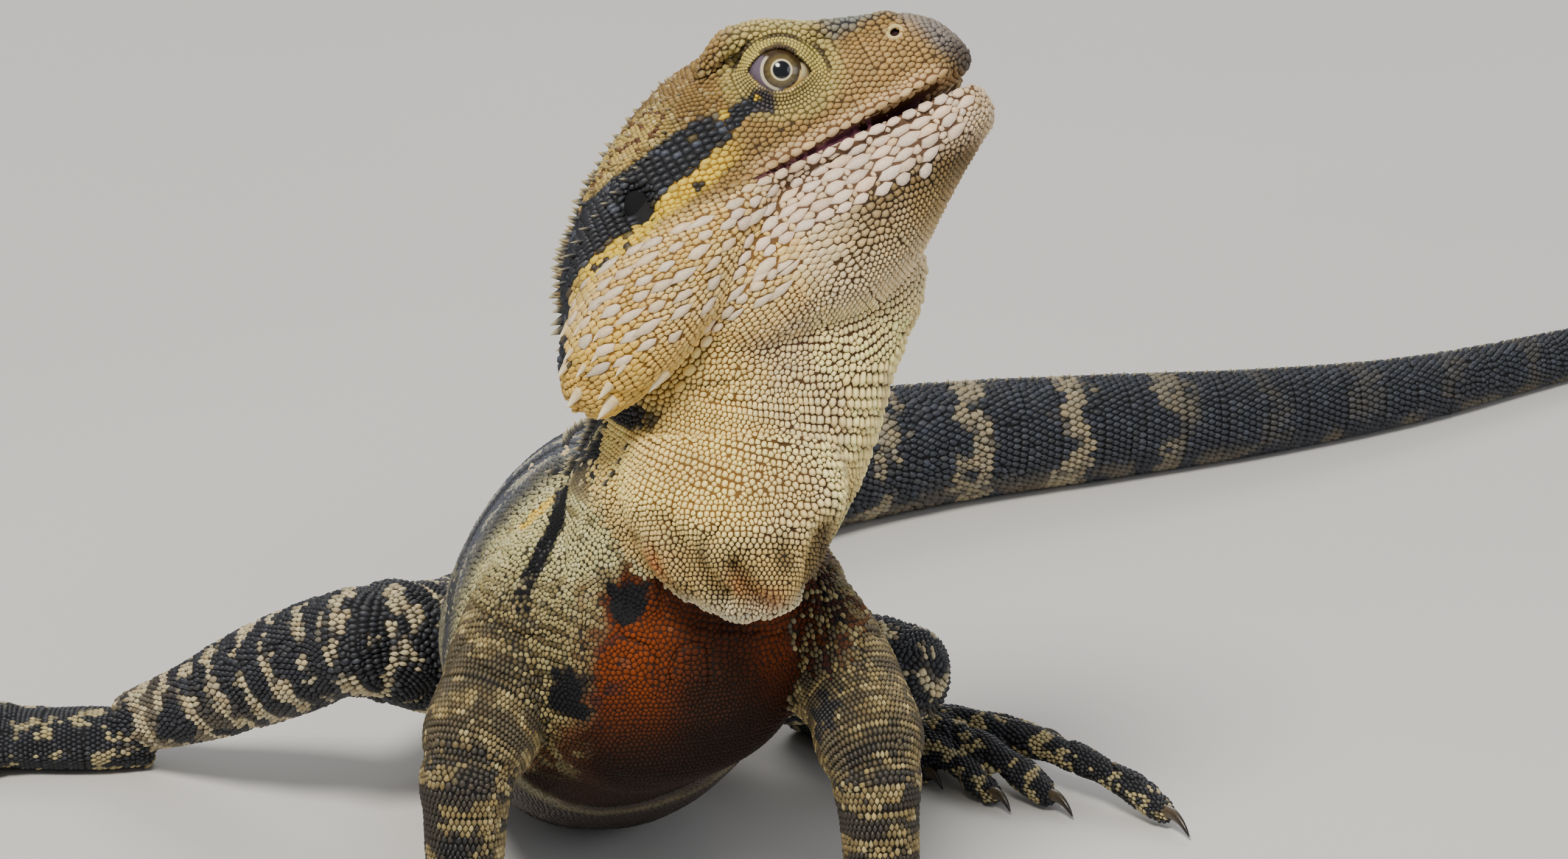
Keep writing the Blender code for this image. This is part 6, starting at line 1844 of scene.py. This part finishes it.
def build_eye(side, material):
    name = "eye_right" if side == 1 else "eye_left"
    centre = head_point(EYE_CENTRE[0], EYE_CENTRE[1] * side, EYE_CENTRE[2])
    gaze = unit(RIGHTWARD * side + AHEAD * 0.22 - UPWARD * 0.16)
    across = unit(np.cross(UPWARD, gaze))
    axes = (across, np.cross(gaze, across), gaze)
    points, tris = ball_arrays(centre, axes, (EYE_RADIUS - 0.05,) * 3, 96, 140)
    way = unit(points - centre)
    off = np.degrees(np.arccos(np.clip(way @ gaze, -1, 1)))
    # the cornea stands a little proud of the ball
    points = points + gaze * (0.4 * smoothstep(-off, -36, 0))[:, None]
    angles = [b[0] for b in EYE_BANDS]
    colour = np.stack([np.interp(off, angles, [b[1][c] for b in EYE_BANDS]) for c in range(3)], axis=1)
    # round the iris: a pale crescent and then lilac skin behind and below, and the yellow lower lid in front
    c, s = math.cos(LID_SLANT), math.sin(LID_SLANT)
    flat = way - gaze * (way @ gaze)[:, None]
    turn = np.degrees(np.arctan2(flat @ (UPWARD * c - AHEAD * s), flat @ (AHEAD * c + UPWARD * s)))
    for middle, wide, start, stop, tone in EYE_PATCHES:
        aside = np.abs((turn - middle + 180) % 360 - 180)
        mask = smoothstep(-aside, -wide - 8.0, -wide + 4.0) * smoothstep(off, start - 0.8, start + 0.8)
        mask = (mask * smoothstep(-off, -stop - 1.0, -stop + 1.0))[:, None]
        colour = colour * (1 - mask) + tone * mask
    ray = noise(np.stack([np.degrees(np.arctan2(way @ across, way @ np.cross(gaze, across))) / 9.0, off / 8.0,
                          0 * off], axis=1), 1.0, 4.0)
    iris = smoothstep(off, 20.0, 21.5) * smoothstep(-off, -33.0, -31.0)
    colour *= (1 + iris * (ray - 0.5) * 0.9)[:, None]
    mesh = numpy_mesh(f"{name}_glass", points, tris.ravel(), np.full(len(tris), 3))
    set_marking(mesh, colour)
    obj = add_object(f"{name}_glass", mesh, material)
    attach(obj, "root")
    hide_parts(name)
    return obj


def build_ear_drum(side, tree, material):
    """A thin, slightly domed drum at the bottom of the ear's cup."""
    name = "ear_right" if side == 1 else "ear_left"
    ahead, _, height = EAR_CENTRE
    hit = on_face(tree, ahead, height, side)
    centre = np.array(hit) - RIGHTWARD * side * 0.25
    points, tris = ball_arrays(centre, (AHEAD, UPWARD, RIGHTWARD * side), (2.5, 3.1, 0.3), 32, 12)
    mesh = numpy_mesh(f"{name}_drum", points, tris.ravel(), np.full(len(tris), 3))
    set_marking(mesh, srgb(20, 20, 23))
    obj = add_object(f"{name}_drum", mesh, material)
    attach(obj, "root")
    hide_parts(name)
    return obj


def build_nostril(side, tree, material):
    """A smooth pale ring round the nostril."""
    ahead, _, height = NOSTRIL_CENTRE
    rings = []
    for turn in np.linspace(0, 2 * np.pi, 25)[:-1]:
        a, b = math.cos(turn), math.sin(turn)
        hit = on_face(tree, ahead + 1.16 * a, height + 1.1 * b, side)
        middle = np.array(hit) + RIGHTWARD * side * 0.06
        away = AHEAD * a + UPWARD * b
        ring = []
        for roll in np.linspace(0, 2 * np.pi, 11)[:-1]:
            ring.append(middle + away * 0.40 * math.cos(roll) + RIGHTWARD * side * 0.40 * math.sin(roll))
        rings.append(ring)
    rings = np.array(rings)
    count, sides = rings.shape[:2]
    i, k = np.meshgrid(np.arange(count), np.arange(sides), indexing="ij")
    a, b = (i * sides + k).ravel(), (i * sides + (k + 1) % sides).ravel()
    c, d = (((i + 1) % count) * sides + k).ravel(), (((i + 1) % count) * sides + (k + 1) % sides).ravel()
    faces = np.stack([a, b, d, c], 1) if side == 1 else np.stack([a, c, d, b], 1)
    mesh = numpy_mesh("nostril", rings.reshape(-1, 3), faces.ravel(), np.full(len(faces), 4))
    set_marking(mesh, srgb(196, 176, 122))
    obj = add_object("nostril_right" if side == 1 else "nostril_left", mesh, material)
    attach(obj, "root")
    return obj


# Floor, lights and camera
FLOOR_HALF = 4.0
FLOOR_LEVEL = -0.0003


def build_stage():
    mesh = bpy.data.meshes.new("floor")
    corners = [(x * FLOOR_HALF, y * FLOOR_HALF, FLOOR_LEVEL) for x, y in ((-1, -1), (1, -1), (1, 1), (-1, 1))]
    mesh.from_pydata(corners, [], [(0, 1, 2, 3)])
    made, nodes, links, shader = new_material("floor_pale")
    fine = nodes.new("ShaderNodeTexNoise")
    fine.inputs["Scale"].default_value = 60.0
    ramp = nodes.new("ShaderNodeValToRGB")
    ramp.color_ramp.elements[0].color = (0.60, 0.59, 0.57, 1)
    ramp.color_ramp.elements[1].color = (0.64, 0.63, 0.61, 1)
    links.new(fine.outputs["Fac"], ramp.inputs["Fac"])
    links.new(ramp.outputs["Color"], shader.inputs["Base Color"])
    shader.inputs["Roughness"].default_value = 0.9
    floor = add_object("floor", mesh, made)


CAMERA_TARGET = np.array((0.0, 0.0, 95.0))
CAMERA_TURN = math.radians(-10.0)
CAMERA_RISE = math.radians(20.0)
CAMERA_AWAY = 1600.0
CAMERA_LENS = 223.6


def camera_back():
    """From the target towards the camera."""
    level = math.cos(CAMERA_RISE)
    return np.array((math.sin(CAMERA_TURN) * level, -math.cos(CAMERA_TURN) * level, math.sin(CAMERA_RISE)))


def aimed(obj, place, target):
    way = Vector(target) - Vector(place)
    obj.location = place
    obj.rotation_euler = way.to_track_quat("-Z", "Y").to_euler()


def build_camera():
    data = bpy.data.cameras.new("camera")
    data.sensor_width, data.lens = 36.0, CAMERA_LENS
    data.clip_end = 20.0
    camera = bpy.data.objects.new("camera", data)
    bpy.context.scene.collection.objects.link(camera)
    target = to_world(CAMERA_TARGET)
    aimed(camera, to_world(CAMERA_TARGET + camera_back() * CAMERA_AWAY), target)
    bpy.context.scene.camera = camera


# name, place, power, size and colour
LIGHTS = (
    ("key", (-0.50, -0.70, 1.20), 23.0, 0.42, (1.0, 0.95, 0.87)),
    ("fill", (1.1, -0.9, 0.6), 5.0, 1.0, (0.97, 0.98, 1.0)),
    ("back", (0.2, 1.3, 1.0), 9.0, 0.9, (1.0, 0.97, 0.92)),
)


def build_lights():
    world = bpy.data.worlds.new("studio")
    world.use_nodes = True
    world.node_tree.nodes["Background"].inputs["Color"].default_value = (0.95, 0.96, 1.0, 1)
    world.node_tree.nodes["Background"].inputs["Strength"].default_value = 0.42
    bpy.context.scene.world = world
    for name, place, power, size, colour in LIGHTS:
        data = bpy.data.lights.new(name, "AREA")
        data.shape = "DISK"
        data.energy, data.size, data.color = power, size, colour
        lamp = bpy.data.objects.new(name, data)
        bpy.context.scene.collection.objects.link(lamp)
        aimed(lamp, place, (0.0, 0.0, 0.06))


# All together
def main():
    limbs, claws = all_limbs()
    skin = build_skin(limbs)
    points, loops, sizes = mesh_arrays(skin)
    starts = np.concatenate([[0], np.cumsum(sizes)])
    polygons = [tuple(loops[a:b]) for a, b in zip(starts[:-1], starts[1:])]
    tree = BVHTree.FromPolygons([tuple(p) for p in points], polygons)
    body = Map(limbs, tree)
    data = scale_data(limbs, body, skin, tree)
    skin = thinned(skin, SKIN_SHARE)
    print("scales", len(data["place"]), "skin faces", len(skin.data.polygons))
    scale_wax = marked_material("scale_horn", 2600.0, 0.50, 0.5)
    scale_dull = marked_material("scale_dull", 2600.0, 0.72, 0.5, specular=0.16)
    skin_rough = marked_material("skin_folds", 1500.0, 0.72, 0.8, specular=0.25)
    spine_horn = marked_material("spine_horn", 3000.0, 0.45, 0.4)
    claw_horn = marked_material("claw_horn", 1800.0, 0.30, 0.3, specular=0.55)
    paint_skin(skin, data, skin_rough)
    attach(skin, "root")
    flesh = ["head", "lower_jaw", "neck", "throat_pouch", "torso"]
    flesh += [f"tail_{i + 1}" for i in range(TAIL_LENGTHS)]
    for part in ("upper_arm", "forearm", "hand", "thigh", "shank", "foot"):
        flesh += [f"{part}_left", f"{part}_right"]
    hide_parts(*flesh)
    for name, chunk, corners in coat_pieces(data["kinds"], data):
        piece = scales_object(name, chunk, data, corners, scale_dull if "chest" in name else scale_wax)
        print(name, len(chunk) * 3 * corners)
    for horns, name, material, slot in (
            (crest_horns(tree, limbs, body), "crest_spines", spine_horn, "banded"),
            (face_horns(tree, body), "face_spines", spine_horn, "cream"),
            (claw_horns(claws), "claws", claw_horn, "banded")):
        horns.build(name, material)
    glass = eye_material()
    drum = marked_material("ear_drum", 2200.0, 0.75, 0.6, specular=0.12)
    for side in (1, -1):
        build_eye(side, glass)
        build_ear_drum(side, tree, drum)
        build_nostril(side, tree, skin_rough)
    build_stage()
    build_camera()
    build_lights()


main()
